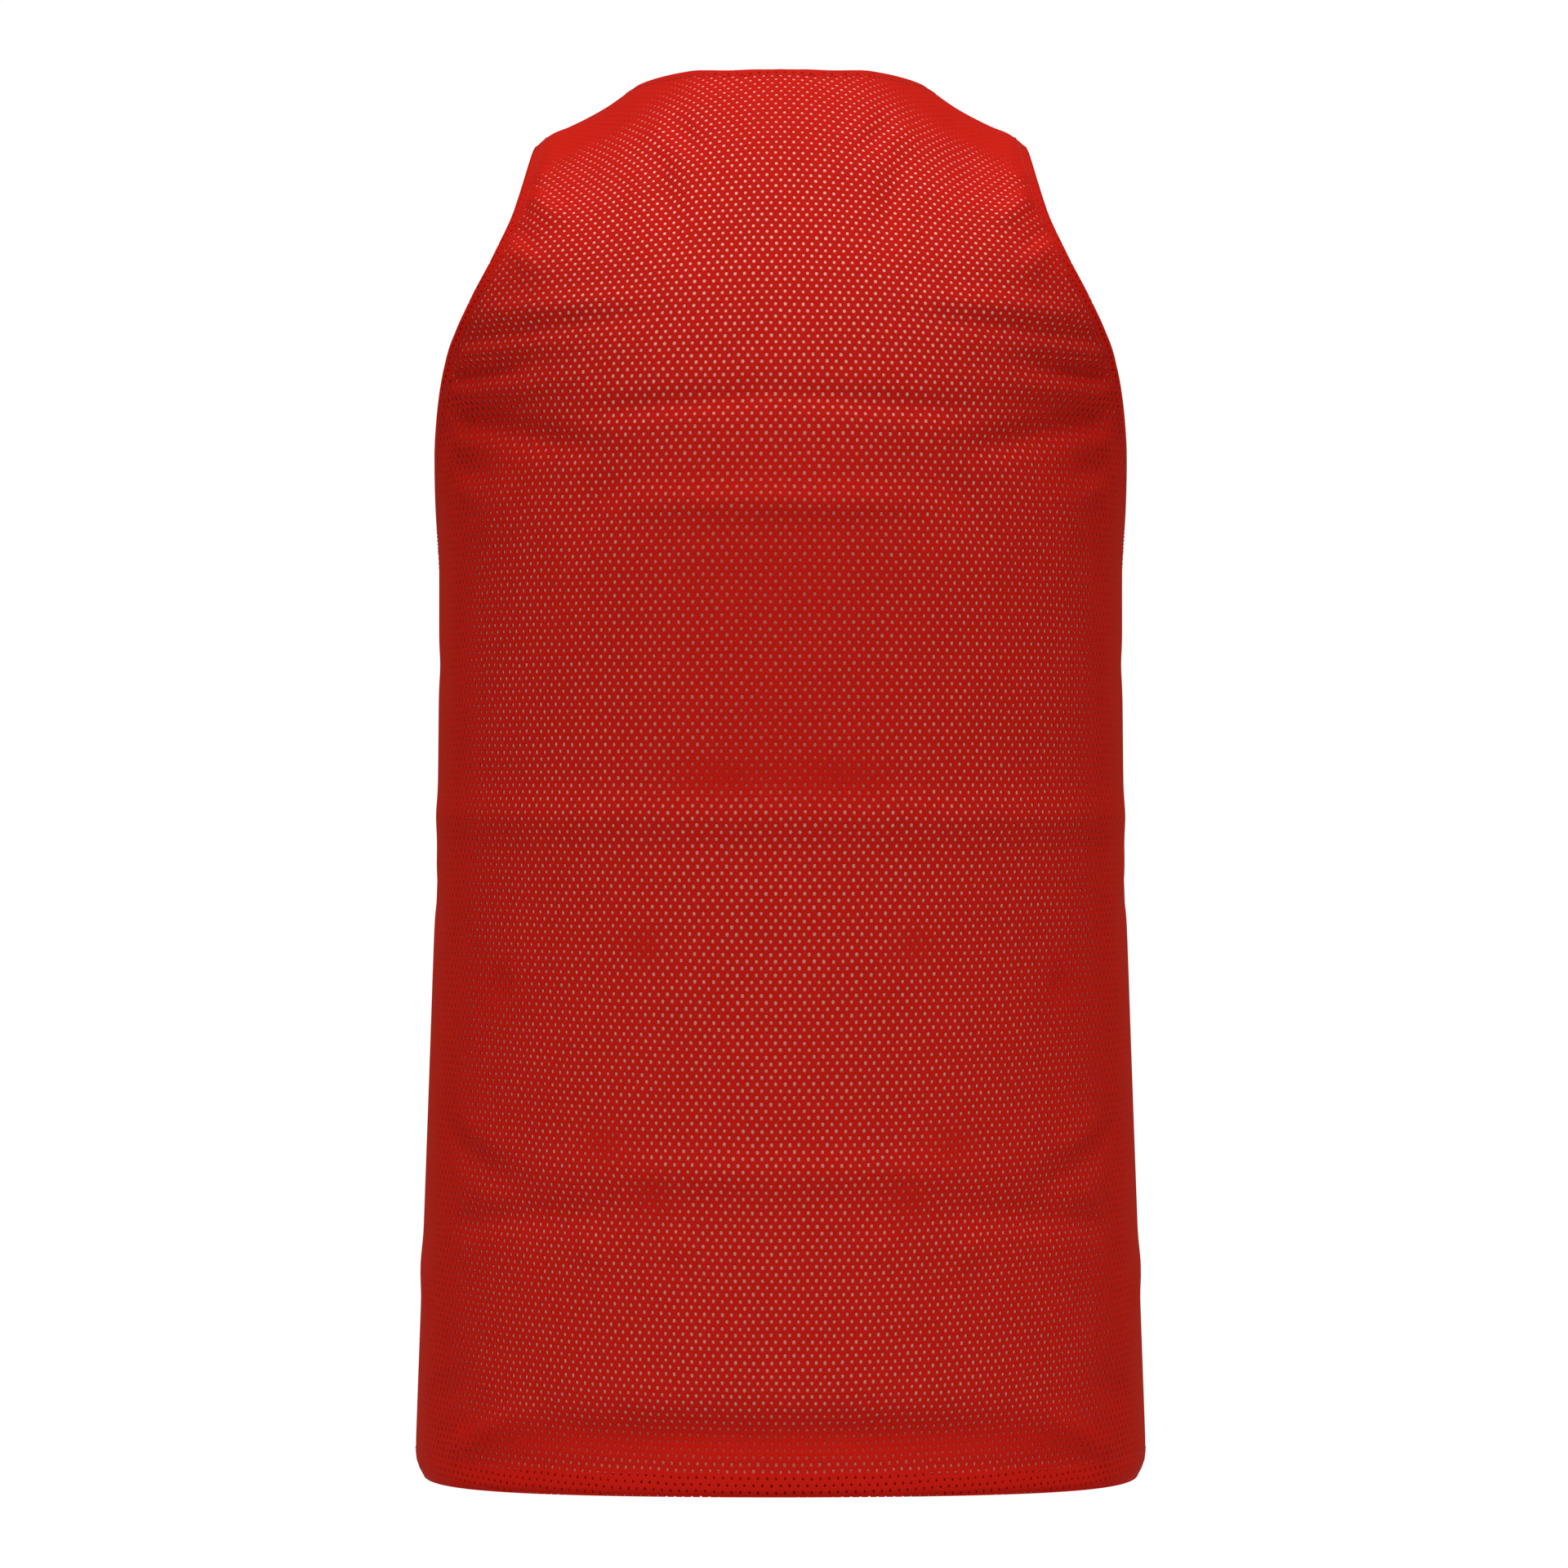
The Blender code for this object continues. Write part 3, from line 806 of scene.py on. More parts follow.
@dataclass
class PanelNet:
    """The net of a whole panel: a grid with a notch where the neck opens."""

    surface: ClothSurface
    columns: int
    rows: int
    inset_edges: float = 0.0
    corner: float = np.pi / 4
    bend_power: int = 4
    edge_power: int = 3
    neck_columns: float = 0.42
    underarm_rows: float = 0.62
    underarm_nudge: float = 0.3

    def half(self) -> tuple[Array, Array, Array]:
        """The right half's turns, lengths and kept cells.

        Level rows climb from the hem. Their columns spread from even shares at the hem to the neck's
        own at the neck's corner, and bend to the neck's edge. Above, they run from neck to armhole.

        Returns:
            The three grids. The kept cells are the ones outside the neck's notch.
        """
        form = self.surface.form
        neck_column = round(self.columns * self.neck_columns)
        neck_row = self.rows - round(self.rows * NECK_ROWS[form.side])
        underarm_row = round(neck_row * self.underarm_rows)
        low = self.neck(np.linspace(0, self.corner, neck_column + 1))
        steep = self.neck(np.linspace(self.corner, QUARTER, self.rows - neck_row + 1))
        start = HEM_TURN + self.inset_edges if self.inset_edges else 0.0
        underarm = form.length_of(UNDERARM_HEIGHT)
        level = np.concatenate([
            np.linspace(start, underarm, underarm_row + 1),
            np.linspace(underarm, steep[1][0], neck_row - underarm_row + 1)[1:],
            steep[1][1:],
        ])
        edge, edge_length = self.armhole(level, underarm_row)
        rise = (level[: neck_row + 1] / level[neck_row])[:, None]
        strap = np.linspace(0, 1, self.columns - neck_column + 1)
        crest = low[0][-1] + (edge[neck_row] - low[0][-1]) * strap
        shares = np.concatenate([low[0], crest[1:]]) / edge[neck_row]
        even = np.arange(self.columns + 1) / self.columns
        turn = np.zeros((self.rows + 1, self.columns + 1))
        length = np.repeat(level[:, None], self.columns + 1, axis=1)
        turn[: neck_row + 1] = edge[: neck_row + 1, None] * (even + (shares - even) * rise)
        length[: neck_row + 1, : neck_column + 1] += (low[1] - level[neck_row]) * rise**self.bend_power
        turn[neck_row:, neck_column:] = steep[0][:, None] + (edge[neck_row:] - steep[0])[:, None] * strap
        length[underarm_row:] += (edge_length - level)[underarm_row:, None] * even**self.edge_power
        row, column = np.indices((self.rows, self.columns))
        return turn, length, (row < neck_row) | (column >= neck_column)

    def neck(self, sweep: Array) -> tuple[Array, Array]:
        """The net's line along the neck, inside the edge by the inset."""
        edge = self.surface.form.neck_edge(sweep)
        if not self.inset_edges:
            return edge
        return NeckEdge(self.surface).inside(sweep, EDGE_TURN + self.inset_edges)

    def armhole(self, level: Array, underarm_row: int) -> tuple[Array, Array]:
        """The net's line along the side and the armhole, inside the armhole's edge by the inset."""
        turn = self.surface.form.edge_turn(level)
        if not self.inset_edges:
            return turn, level
        length = level.copy()
        length[underarm_row] += (level[underarm_row + 1] - level[underarm_row]) * self.underarm_nudge
        inner = ArmholeEdgeLine(self.surface).inside(length, EDGE_TURN + self.inset_edges)
        below = np.arange(len(level)) <= underarm_row
        lengths = np.where(below, np.minimum(level, inner[1]), inner[1])
        return np.where(below, QUARTER, inner[0]), lengths

    def whole(self) -> tuple[Array, Array, Array]:
        """The whole panel's turns, lengths and kept cells."""
        turn, length, kept = self.half()
        return mirrored(turn, signed=True), mirrored(length), np.concatenate([kept[:, ::-1], kept], axis=1)


@dataclass
class NeckEdge:
    """The neck's edge, and lines inside it."""

    surface: ClothSurface
    points: int = 70

    def inside(self, sweep: Array, distance: float) -> tuple[Array, Array]:
        """(turn, length) at this distance inside the edge."""
        sweep = np.clip(sweep, 0, QUARTER - NEAR_END)
        form = self.surface.form
        here, after = form.neck_edge(sweep), form.neck_edge(sweep + STEP)
        along = form.skin(*here) - form.skin(*after)
        return self.surface.inset(*here, along, distance)

    def line(self, distance: float) -> tuple[Array, Array]:
        """The whole line at this distance inside the edge, from left to right."""
        turn, length = self.inside(np.linspace(0, QUARTER - NEAR_END, self.points), distance)
        turn[0] = 0
        return mirrored(turn[None], signed=True)[0], mirrored(length[None])[0]


@dataclass
class HemEdge:
    """The hem's edge, and lines above it."""

    surface: ClothSurface
    points: int = 261

    def line(self, distance: float) -> tuple[Array, Array]:
        """The whole line at this distance above the edge, from seam to seam."""
        turn = np.linspace(-QUARTER, QUARTER, self.points)
        return turn, np.full_like(turn, distance)


@dataclass
class ArmholeEdgeLine:
    """One armhole's edge, and lines inside it, with more points near the underarm's curve."""

    surface: ClothSurface
    hand: Hand = Hand.RIGHT
    points: int = 150
    first: float = 0.012
    crowding: float = 1.6

    def inside(self, length: Array, distance: float) -> tuple[Array, Array]:
        """(turn, length) at this distance inside the edge."""
        form = self.surface.form
        length = np.minimum(length, form.top - NEAR_END)
        turn = form.edge_turn(length)
        above = form.skin(form.edge_turn(length + STEP), length + STEP)
        return self.surface.inset(turn, length, above - form.skin(turn, length), distance)

    def line(self, distance: float) -> tuple[Array, Array]:
        """The whole line at this distance inside the edge, from underarm to shoulder."""
        form = self.surface.form
        underarm = form.length_of(UNDERARM_HEIGHT)
        share = np.linspace(self.first, 1, self.points) ** self.crowding
        turn, length = self.inside(underarm + (form.top - underarm) * share, distance)
        return np.minimum(turn, QUARTER) * self.hand.sign, length


@dataclass
class Graph:
    """A node tree, with short calls for making and joining its nodes."""

    tree: bpy.types.NodeTree

    def feed(self, socket: bpy.types.NodeSocket, value: Any) -> None:
        """Link another socket into this one, or set its own value."""
        if isinstance(value, bpy.types.NodeSocket):
            self.tree.links.new(value, socket)
        else:
            socket.default_value = value

    def add(self, kind: str, inputs: dict[Any, Any] | None = None, **settings: Any) -> bpy.types.Node:
        """Make a node.

        Args:
            kind: The node's type.
            inputs: Values or sockets, by the input's name or number.
            **settings: The node's own properties.

        Returns:
            The node.
        """
        node = self.tree.nodes.new(kind)
        for name, value in settings.items():
            setattr(node, name, value)
        for name, value in (inputs or {}).items():
            self.feed(node.inputs[name], value)
        return node

    def math(self, operation: str, *values: Any) -> bpy.types.NodeSocket:
        """A Math node's result."""
        return self.add("ShaderNodeMath", dict(enumerate(values)), operation=operation).outputs[0]

    def times(self, one: Any, other: Any) -> bpy.types.NodeSocket:
        """The product of two values."""
        return self.math("MULTIPLY", one, other)

    def plus(self, one: Any, other: Any) -> bpy.types.NodeSocket:
        """The sum of two values."""
        return self.math("ADD", one, other)

    def minus(self, one: Any, other: Any) -> bpy.types.NodeSocket:
        """The first value less the second."""
        return self.math("SUBTRACT", one, other)

    def vector(self, operation: str, one: Any, other: Any) -> bpy.types.NodeSocket:
        """A Vector Math node's result, with a number or a vector as its second value."""
        name = "Scale" if operation == "SCALE" else 1
        return self.add("ShaderNodeVectorMath", {0: one, name: other}, operation=operation).outputs[0]

    def bump(self, height: Any, strength: float, distance: float) -> bpy.types.NodeSocket:
        """The normal that a height gives."""
        inputs = {"Strength": strength, "Distance": distance, "Height": height}
        return self.add("ShaderNodeBump", inputs).outputs[0]

    def ramp(self, value: Any, low: Any, high: Any, to_low: float, to_high: float) -> bpy.types.NodeSocket:
        """The value taken smoothly from one range to another."""
        inputs = {0: value, 1: low, 2: high, 3: to_low, 4: to_high}
        return self.add("ShaderNodeMapRange", inputs, interpolation_type="SMOOTHSTEP").outputs[0]

    def noise(self, vector: Any, scale: float, detail: float, output: int = 0) -> bpy.types.NodeSocket:
        """A noise texture's value, or its colour as output 1."""
        inputs = {"Vector": vector, "Scale": scale, "Detail": detail}
        return self.add("ShaderNodeTexNoise", inputs).outputs[output]

    def mix(self, share: Any, low: Any, high: Any) -> bpy.types.NodeSocket:
        """Two colours mixed by a share."""
        node = self.add("ShaderNodeMix", {0: share, 6: low, 7: high}, data_type="RGBA")
        return node.outputs[2]


class Effect:
    """A shader node group, built once and placed in each material with its own values."""

    name: str = ""
    inputs: tuple[tuple[str, str, float], ...] = ()
    outputs: tuple[str, ...] = ()

    def group(self) -> bpy.types.NodeTree:
        """The group, made on its first use."""
        found = bpy.data.node_groups.get(self.name)
        if found:
            return found
        tree = bpy.data.node_groups.new(self.name, "ShaderNodeTree")
        for name, kind, value in self.inputs:
            socket = tree.interface.new_socket(name, in_out="INPUT", socket_type=kind)
            if kind == "NodeSocketFloat":
                socket.default_value = value
        for name in self.outputs:
            tree.interface.new_socket(name, in_out="OUTPUT", socket_type="NodeSocketFloat")
        graph = Graph(tree)
        source = graph.add("NodeGroupInput").outputs
        target = graph.add("NodeGroupOutput").inputs
        for name, value in self.results(graph, {name: source[name] for name, *_ in self.inputs}).items():
            graph.feed(target[name], value)
        return tree

    def results(self, graph: Graph, given: dict[str, Any]) -> dict[str, Any]:
        """The group's outputs, worked out from its inputs."""
        raise NotImplementedError

    def place(self, graph: Graph, **values: Any) -> bpy.types.bpy_prop_collection:
        """Put the group in a material with its values, and give its outputs."""
        inputs = {name.replace("_", " "): value for name, value in values.items()}
        return graph.add("ShaderNodeGroup", inputs, node_tree=self.group()).outputs


class HoleLattice(Effect):
    """Staggered rows of small oval holes in the knit.

    A cell is one wale wide and one course high, and every other course is moved by half a wale. A
    point is in the hole where its distance from the cell's middle, in hole radii, is under 1.
    """

    name = "hole lattice"
    inputs = (
        ("Vector", "NodeSocketVector", 0.0),
        ("Wale Pitch", "NodeSocketFloat", WALE_PITCH),
        ("Course Pitch", "NodeSocketFloat", COURSE_PITCH),
        ("Half Width", "NodeSocketFloat", 0.0009),
        ("Half Height", "NodeSocketFloat", 0.0011),
        ("Unevenness", "NodeSocketFloat", 0.1),
    )
    outputs = ("Hole", "Rim")
    wander_scale = 45.0
    wander_reach = 0.0016
    nudge_share = 0.5
    sizes = (0.92, 1.06)
    roundness = 2.5
    hole_fades = (0.85, 1.15)
    rim_fades = (1.0, 4.5)

    def results(self, graph: Graph, given: dict[str, Any]) -> dict[str, Any]:
        """The hole's mask, and the mask of the drawn-up stitches round it, which the knit's finish also uses
        for painted shade.
        """
        colour = graph.noise(given["Vector"], self.wander_scale, 1.0, output=1)
        wander = graph.vector("SUBTRACT", colour, (0.5, 0.5, 0.5))
        moved = graph.vector("ADD", given["Vector"], graph.vector("SCALE", wander, self.wander_reach))
        place = graph.add("ShaderNodeSeparateXYZ", {0: moved}).outputs
        courses = graph.math("DIVIDE", place[1], given["Course Pitch"])
        course = graph.math("FLOOR", courses)
        stagger = graph.times(graph.math("FLOORED_MODULO", course, 2.0), 0.5)
        wales = graph.plus(graph.math("DIVIDE", place[0], given["Wale Pitch"]), stagger)
        wale = graph.math("FLOOR", wales)
        cell = graph.add("ShaderNodeCombineXYZ", {0: wale, 1: course}).outputs[0]
        chance = graph.add("ShaderNodeTexWhiteNoise", {"Vector": cell}, noise_dimensions="3D")
        chances = graph.add("ShaderNodeSeparateXYZ", {0: chance.outputs["Color"]}).outputs
        nudge = graph.times(given["Unevenness"], self.nudge_share)
        size = graph.ramp(chances[2], 0.0, 1.0, *self.sizes)

        def in_radii(counted: Any, whole: Any, drawn: Any, pitch: Any, radius: Any) -> Any:
            """The distance from the cell's middle, moved a little by chance, in hole radii to a power."""
            middle = graph.minus(graph.minus(counted, whole), 0.5)
            metres = graph.times(graph.plus(middle, graph.times(graph.minus(drawn, 0.5), nudge)), pitch)
            radii = graph.math("DIVIDE", graph.math("DIVIDE", metres, radius), size)
            return graph.math("POWER", graph.math("ABSOLUTE", radii), self.roundness)

        across = in_radii(wales, wale, chances[0], given["Wale Pitch"], given["Half Width"])
        up = in_radii(courses, course, chances[1], given["Course Pitch"], given["Half Height"])
        away = graph.plus(across, up)
        hole = graph.ramp(away, *self.hole_fades, 1.0, 0.0)
        return {"Hole": hole, "Rim": graph.ramp(away, *self.rim_fades, 1.0, 0.0)}


class KnitGrain(Effect):
    """The knit between the holes: fine slanting stitches, and cloudy unevenness of yarn and dye."""

    name = "knit grain"
    inputs = (
        ("Vector", "NodeSocketVector", 0.0),
        ("Stitches", "NodeSocketFloat", 900.0),
        ("Mottle", "NodeSocketFloat", 0.2),
    )
    outputs = ("Height", "Tone")
    tall = 1.3
    sway = 2.4
    lean = 1.6
    sway_scale = 260.0
    fine_scale = 1100.0
    broad_scale = 28.0
    fine_share = 0.7
    painted_groove_shade_share = 0.16
    full_turn = 6.2832

    def results(self, graph: Graph, given: dict[str, Any]) -> dict[str, Any]:
        """The stitches' height, and a tone about 1.

        Each wale is a sine's size across the cloth. The stitches are a sine up it, which leans over
        on each wale. The tone is 1 with fine and broad clouds, times 1 with a share of the height: painted
        shade, darker in the stitches' low parts.
        """
        place = graph.add("ShaderNodeSeparateXYZ", {0: given["Vector"]}).outputs
        drift = graph.times(graph.noise(given["Vector"], self.sway_scale, 2.0), self.sway)
        across = graph.times(place[0], given["Stitches"])
        up = graph.times(place[1], graph.times(given["Stitches"], self.tall))
        sine = graph.math("SINE", graph.plus(graph.times(across, self.full_turn), drift))
        wale = graph.math("ABSOLUTE", sine)
        leaning = graph.plus(graph.times(wale, self.lean), drift)
        slant = graph.math("SINE", graph.plus(graph.times(up, self.full_turn), leaning))
        height = graph.plus(graph.times(wale, 0.5), graph.times(slant, 0.5))
        fine = graph.times(graph.noise(given["Vector"], self.fine_scale, 3.0), self.fine_share)
        broad = graph.times(graph.noise(given["Vector"], self.broad_scale, 2.0), 1 - self.fine_share)
        cloud = graph.minus(graph.plus(fine, broad), 0.5)
        tone = graph.plus(1.0, graph.times(cloud, given["Mottle"]))
        # Painted shade: the tone is darker where the stitches' height is low.
        painted_groove_shade = graph.plus(1.0, graph.times(height, graph.times(given["Mottle"], self.painted_groove_shade_share)))
        return {"Height": height, "Tone": graph.times(tone, painted_groove_shade)}


@dataclass(frozen=True)
class PerforatedKnit:
    """The finish of one ply of mesh knit, with real holes through it.

    The holes close as the cloth turns away from the view, from no turn to a full one between the two
    closes_at values of Layer Weight's Facing. lets_light is the share of a lamp's light that the ply
    lets through to what lies behind it. Where the cloth is doubled, by the piece's own "turned"
    attribute, a hole loses the drawn_in share of its size. A ply with a shaded colour mixes that
    painted shade into its face by the piece's own painted-shade attribute.
    """

    name: str
    face: tuple[float, float, float]
    back: tuple[float, float, float]
    lets_light: float
    painted_rim_shade: float
    sheen: float
    sheen_tint: tuple[float, float, float]
    mottle: float
    shaded: tuple[float, float, float] | None = None
    half_width: float = 0.00086
    half_height: float = 0.00104
    roughness: float = 0.75
    roughness_spread: float = 0.06
    closes_at: tuple[float, float] = (0.45, 0.80)
    drawn_in: float = 0.3
    sheen_roughness: float = 0.35
    specular: float = 0.03
    stitch_relief: float = 0.35
    bump_strength: float = 0.45
    bump_depth: float = 0.00025

    def build(self) -> bpy.types.Material:
        """Make the material, which reads the piece's cloth map."""
        material = bpy.data.materials.new(self.name)
        material.use_nodes = True
        graph = Graph(material.node_tree)
        shader = graph.tree.nodes["Principled BSDF"].inputs
        cloth = graph.add("ShaderNodeUVMap", uv_map="cloth").outputs[0]
        turned = graph.add("ShaderNodeAttribute", attribute_name="turned").outputs["Fac"]
        size = graph.minus(1.0, graph.times(turned, self.drawn_in))
        wide, high = (graph.times(size, half) for half in (self.half_width, self.half_height))
        holes = HoleLattice().place(graph, Vector=cloth, Half_Width=wide, Half_Height=high)
        grain = KnitGrain().place(graph, Vector=cloth, Mottle=self.mottle)
        face: Any = (*self.face, 1)
        if self.shaded:
            # Painted shade: the face is darkened towards the shaded colour by the piece's painted-shade
            # attribute.
            apart = graph.add("ShaderNodeAttribute", attribute_name="apart").outputs["Fac"]
            face = graph.mix(apart, face, (*self.shaded, 1))
        inside = graph.add("ShaderNodeNewGeometry").outputs["Backfacing"]
        dyed = graph.mix(inside, face, (*self.back, 1))
        # Painted shade: the tone is darkened round each hole, where the cloth curves into it.
        rim_shaded_tone = graph.minus(grain["Tone"], graph.times(holes["Rim"], self.painted_rim_shade))
        graph.feed(shader["Base Color"], graph.vector("SCALE", dyed, rim_shaded_tone))
        smooth, rough = self.roughness - self.roughness_spread, self.roughness + self.roughness_spread
        graph.feed(shader["Roughness"], graph.ramp(grain["Tone"], 0.8, 1.2, smooth, rough))
        slant = graph.add("ShaderNodeLayerWeight", {"Blend": 0.5}).outputs["Facing"]
        seen_through = graph.times(holes["Hole"], graph.ramp(slant, *self.closes_at, 1.0, 0.0))
        towards_light = graph.add("ShaderNodeLightPath").outputs["Is Shadow Ray"]
        through = graph.math("MAXIMUM", seen_through, graph.times(towards_light, self.lets_light))
        graph.feed(shader["Alpha"], graph.minus(1.0, through))
        relief = graph.minus(graph.times(grain["Height"], self.stitch_relief), holes["Rim"])
        graph.feed(shader["Normal"], graph.bump(relief, self.bump_strength, self.bump_depth))
        shader["Sheen Weight"].default_value = self.sheen
        shader["Sheen Roughness"].default_value = self.sheen_roughness
        shader["Sheen Tint"].default_value = (*self.sheen_tint, 1)
        shader["Specular IOR Level"].default_value = self.specular
        return material


@dataclass(frozen=True)
class SewingThread:
    """The finish of the thread in the edge stitches."""

    name: str
    colour: tuple[float, float, float]
    stitches: float = 1600.0
    mottle: float = 0.5
    roughness: float = 0.55
    sheen: float = 0.2

    def build(self) -> bpy.types.Material:
        """Make the material: a twisted yarn's tone along each stitch."""
        material = bpy.data.materials.new(self.name)
        material.use_nodes = True
        graph = Graph(material.node_tree)
        shader = graph.tree.nodes["Principled BSDF"].inputs
        place = graph.add("ShaderNodeTexCoord").outputs["Object"]
        grain = KnitGrain().place(graph, Vector=place, Stitches=self.stitches, Mottle=self.mottle)
        graph.feed(shader["Base Color"], graph.vector("SCALE", self.colour, grain["Tone"]))
        graph.feed(shader["Normal"], graph.bump(grain["Height"], 0.5, 0.0001))
        shader["Roughness"].default_value = self.roughness
        shader["Sheen Weight"].default_value = self.sheen
        return material


RED_KNIT = PerforatedKnit(
    name="red_mesh_knit",
    face=(0.600, 0.0112, 0.0054),
    back=(0.600, 0.0112, 0.0054),
    lets_light=0.9,
    painted_rim_shade=0.10,
    sheen=0.04,
    sheen_tint=(1.0, 0.45, 0.15),
    mottle=0.35,
)
# The side of a turned edge that lies against the panel, in its shade: a darker copy of the red knit, with
# its shade painted in.
RED_SHADED_UNDERSIDE = replace(RED_KNIT, name="red_mesh_shaded_underside", face=(0.17, 0.0080, 0.0058))
# The outer face of the white ply is lit through the red one, so it looks pink there: this pink is painted
# light, put into the face's colour.
WHITE_KNIT = PerforatedKnit(
    name="white_mesh_knit",
    face=(0.98, 0.60, 0.54),
    back=(0.90, 0.89, 0.87),
    lets_light=0.25,
    shaded=(0.60, 0.050, 0.038),
    half_width=0.0007,
    half_height=0.0009,
    painted_rim_shade=0.04,
    sheen=0.1,
    sheen_tint=(1.0, 1.0, 1.0),
    mottle=0.12,
)
RED_THREAD = SewingThread("red_thread", (0.30, 0.010, 0.007))


@dataclass
class Stitches:
    """A row of machine stitches along a line on the cloth."""

    surface: ClothSurface
    line: Callable[[float], tuple[Array, Array]]
    distance: float
    pitch: float = 0.0030
    length: float = 0.0023
    radius: float = 0.00017
    stands: float = 0.00022
    sinks: float = 0.00032
    bedded: float = 0.2
    blunt: float = 1.02
    rings: int = 5
    sides: int = 6

    def build(self, name: str) -> bpy.types.Object:
        """Make every stitch: a thin spindle whose ends go down into the cloth.

        A ring's radius is the thread's, times a half ellipse's height along the stitch. Its middle
        stands out of the cloth by a parabola that is highest in the middle.

        Args:
            name: The piece's name.

        Returns:
            The object.
        """
        turn, length = self.line(self.distance)
        path = self.surface.point(turn, length)
        along = np.concatenate([[0], np.cumsum(np.linalg.norm(np.diff(path, axis=0), axis=1))])
        middles = np.arange(self.pitch / 2, along[-1], self.pitch)
        share = np.linspace(-1, 1, self.rings)
        at = middles[:, None] + share * self.length / 2
        place = np.stack([np.interp(at, along, path[:, i]) for i in range(3)], axis=-1)
        normals = self.surface.form_normal(turn, length)
        out = np.stack([np.interp(at, along, normals[:, i]) for i in range(3)], axis=-1)
        out /= np.linalg.norm(out, axis=-1, keepdims=True)
        ahead = np.gradient(place, axis=1)
        ahead /= np.linalg.norm(ahead, axis=-1, keepdims=True)
        beside = np.cross(ahead, out)
        stands = self.stands - self.sinks * share**2 + self.radius * self.bedded
        place = place + out * stands[None, :, None]
        thick = self.radius * np.sqrt(self.blunt - share**2)[None, :, None, None]
        spin = np.arange(self.sides) / self.sides * 2 * np.pi
        ring = np.cos(spin)[:, None] * out[:, :, None] + np.sin(spin)[:, None] * beside[:, :, None]
        points = place[:, :, None] + ring * thick
        shape = (len(middles), self.rings, self.sides)
        index = np.arange(np.prod(shape)).reshape(shape)
        after = np.roll(index, -1, axis=2)
        corners = [index[:, :-1], after[:, :-1], after[:, 1:], index[:, 1:]]
        cells = np.stack(corners, axis=-1).reshape(-1, 4)
        ends = np.concatenate([index[:, 0, ::-1], index[:, -1]]).tolist()
        mesh = bpy.data.meshes.new(name)
        mesh.from_pydata(points.reshape(-1, 3).tolist(), [], cells.tolist() + ends)
        mesh.shade_smooth()
        piece = bpy.data.objects.new(name, mesh)
        bpy.context.scene.collection.objects.link(piece)
        piece.data.materials.append(bpy.data.materials[RED_THREAD.name])
        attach(piece, "root")
        return piece


@dataclass
class TurnedEdge:
    """The outer cloth turned in at an edge: a small roll, and then a strip behind the panel."""

    surface: ClothSurface
    line: Callable[[float], tuple[Array, Array]]
    width: float
    radius: float = TURN_DEPTH / 2
    stands: float = 0.00003
    look_in: float = 0.002
    roll_steps: int = 8
    strip_steps: int = 6

    def build(self, name: str, node: str) -> bpy.types.Object:
        """Make the strip.

        The roll is a half circle in the plane of the normal and the direction into the panel. After
        it the strip runs at the roll's depth, half a wale out of step, so that its holes are covered.

        Args:
            name: The piece's name.
            node: The CAD node that it stands for.

        Returns:
            The object.
        """
        edge = self.line(0.0)
        start = self.surface.point(*edge)
        inner = self.surface.point(*self.line(self.look_in))
        into = inner - start
        into /= np.linalg.norm(into, axis=-1, keepdims=True)
        inward = -self.surface.form_normal(*edge)
        inward -= into * (inward * into).sum(-1, keepdims=True)
        inward /= np.linalg.norm(inward, axis=-1, keepdims=True)
        rows, maps = [], []
        edge_map = self.surface.cloth_map(*edge)
        slope = (self.surface.cloth_map(*self.line(self.look_in)) - edge_map) / self.look_in
        for angle in np.linspace(0, np.pi, self.roll_steps + 1):
            out = self.radius * np.sin(angle)
            down = self.radius * (1 - np.cos(angle)) - self.stands
            rows.append(start - into * out + inward * down)
            maps.append(edge_map - slope * self.radius * angle)
        for distance in np.linspace(0, self.width, self.strip_steps + 1):
            inside = self.line(distance)
            rows.append(self.surface.point(*inside, inward=2 * self.radius))
            maps.append(self.surface.cloth_map(*inside) + HALF_WALE)
        points, cloth_map = np.array(rows), np.array(maps)
        kept = np.ones((len(rows) - 1, points.shape[1] - 1), bool)
        kept[self.roll_steps] = False
        outward = np.repeat(-inward[None], len(rows), axis=0)
        outward[self.roll_steps // 2 + 1 :] *= -1
        outward[self.roll_steps // 2] = -into
        piece = GridMesh(points, cloth_map, kept).build(name, outward)
        thicken(piece, STRIP_THICKNESS)
        dress(piece, RED_KNIT, node)
        # The strip's inner shell takes the darker copy of the red knit, with painted shade.
        piece.data.materials.append(bpy.data.materials[RED_SHADED_UNDERSIDE.name])
        piece.modifiers["thickness"].material_offset = 1
        return piece


def thicken(piece: bpy.types.Object, thickness: float) -> None:
    """Give a sheet its thickness, on its inner side."""
    wall = piece.modifiers.new("thickness", "SOLIDIFY")
    wall.thickness = thickness
    wall.offset = -1


def dress(piece: bpy.types.Object, finish: PerforatedKnit, node: str) -> None:
    """Give a piece its material and its body, and hide the CAD part that it stands for."""
    piece.data.materials.append(bpy.data.materials[finish.name])
    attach(piece, "root")
    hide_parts(node)


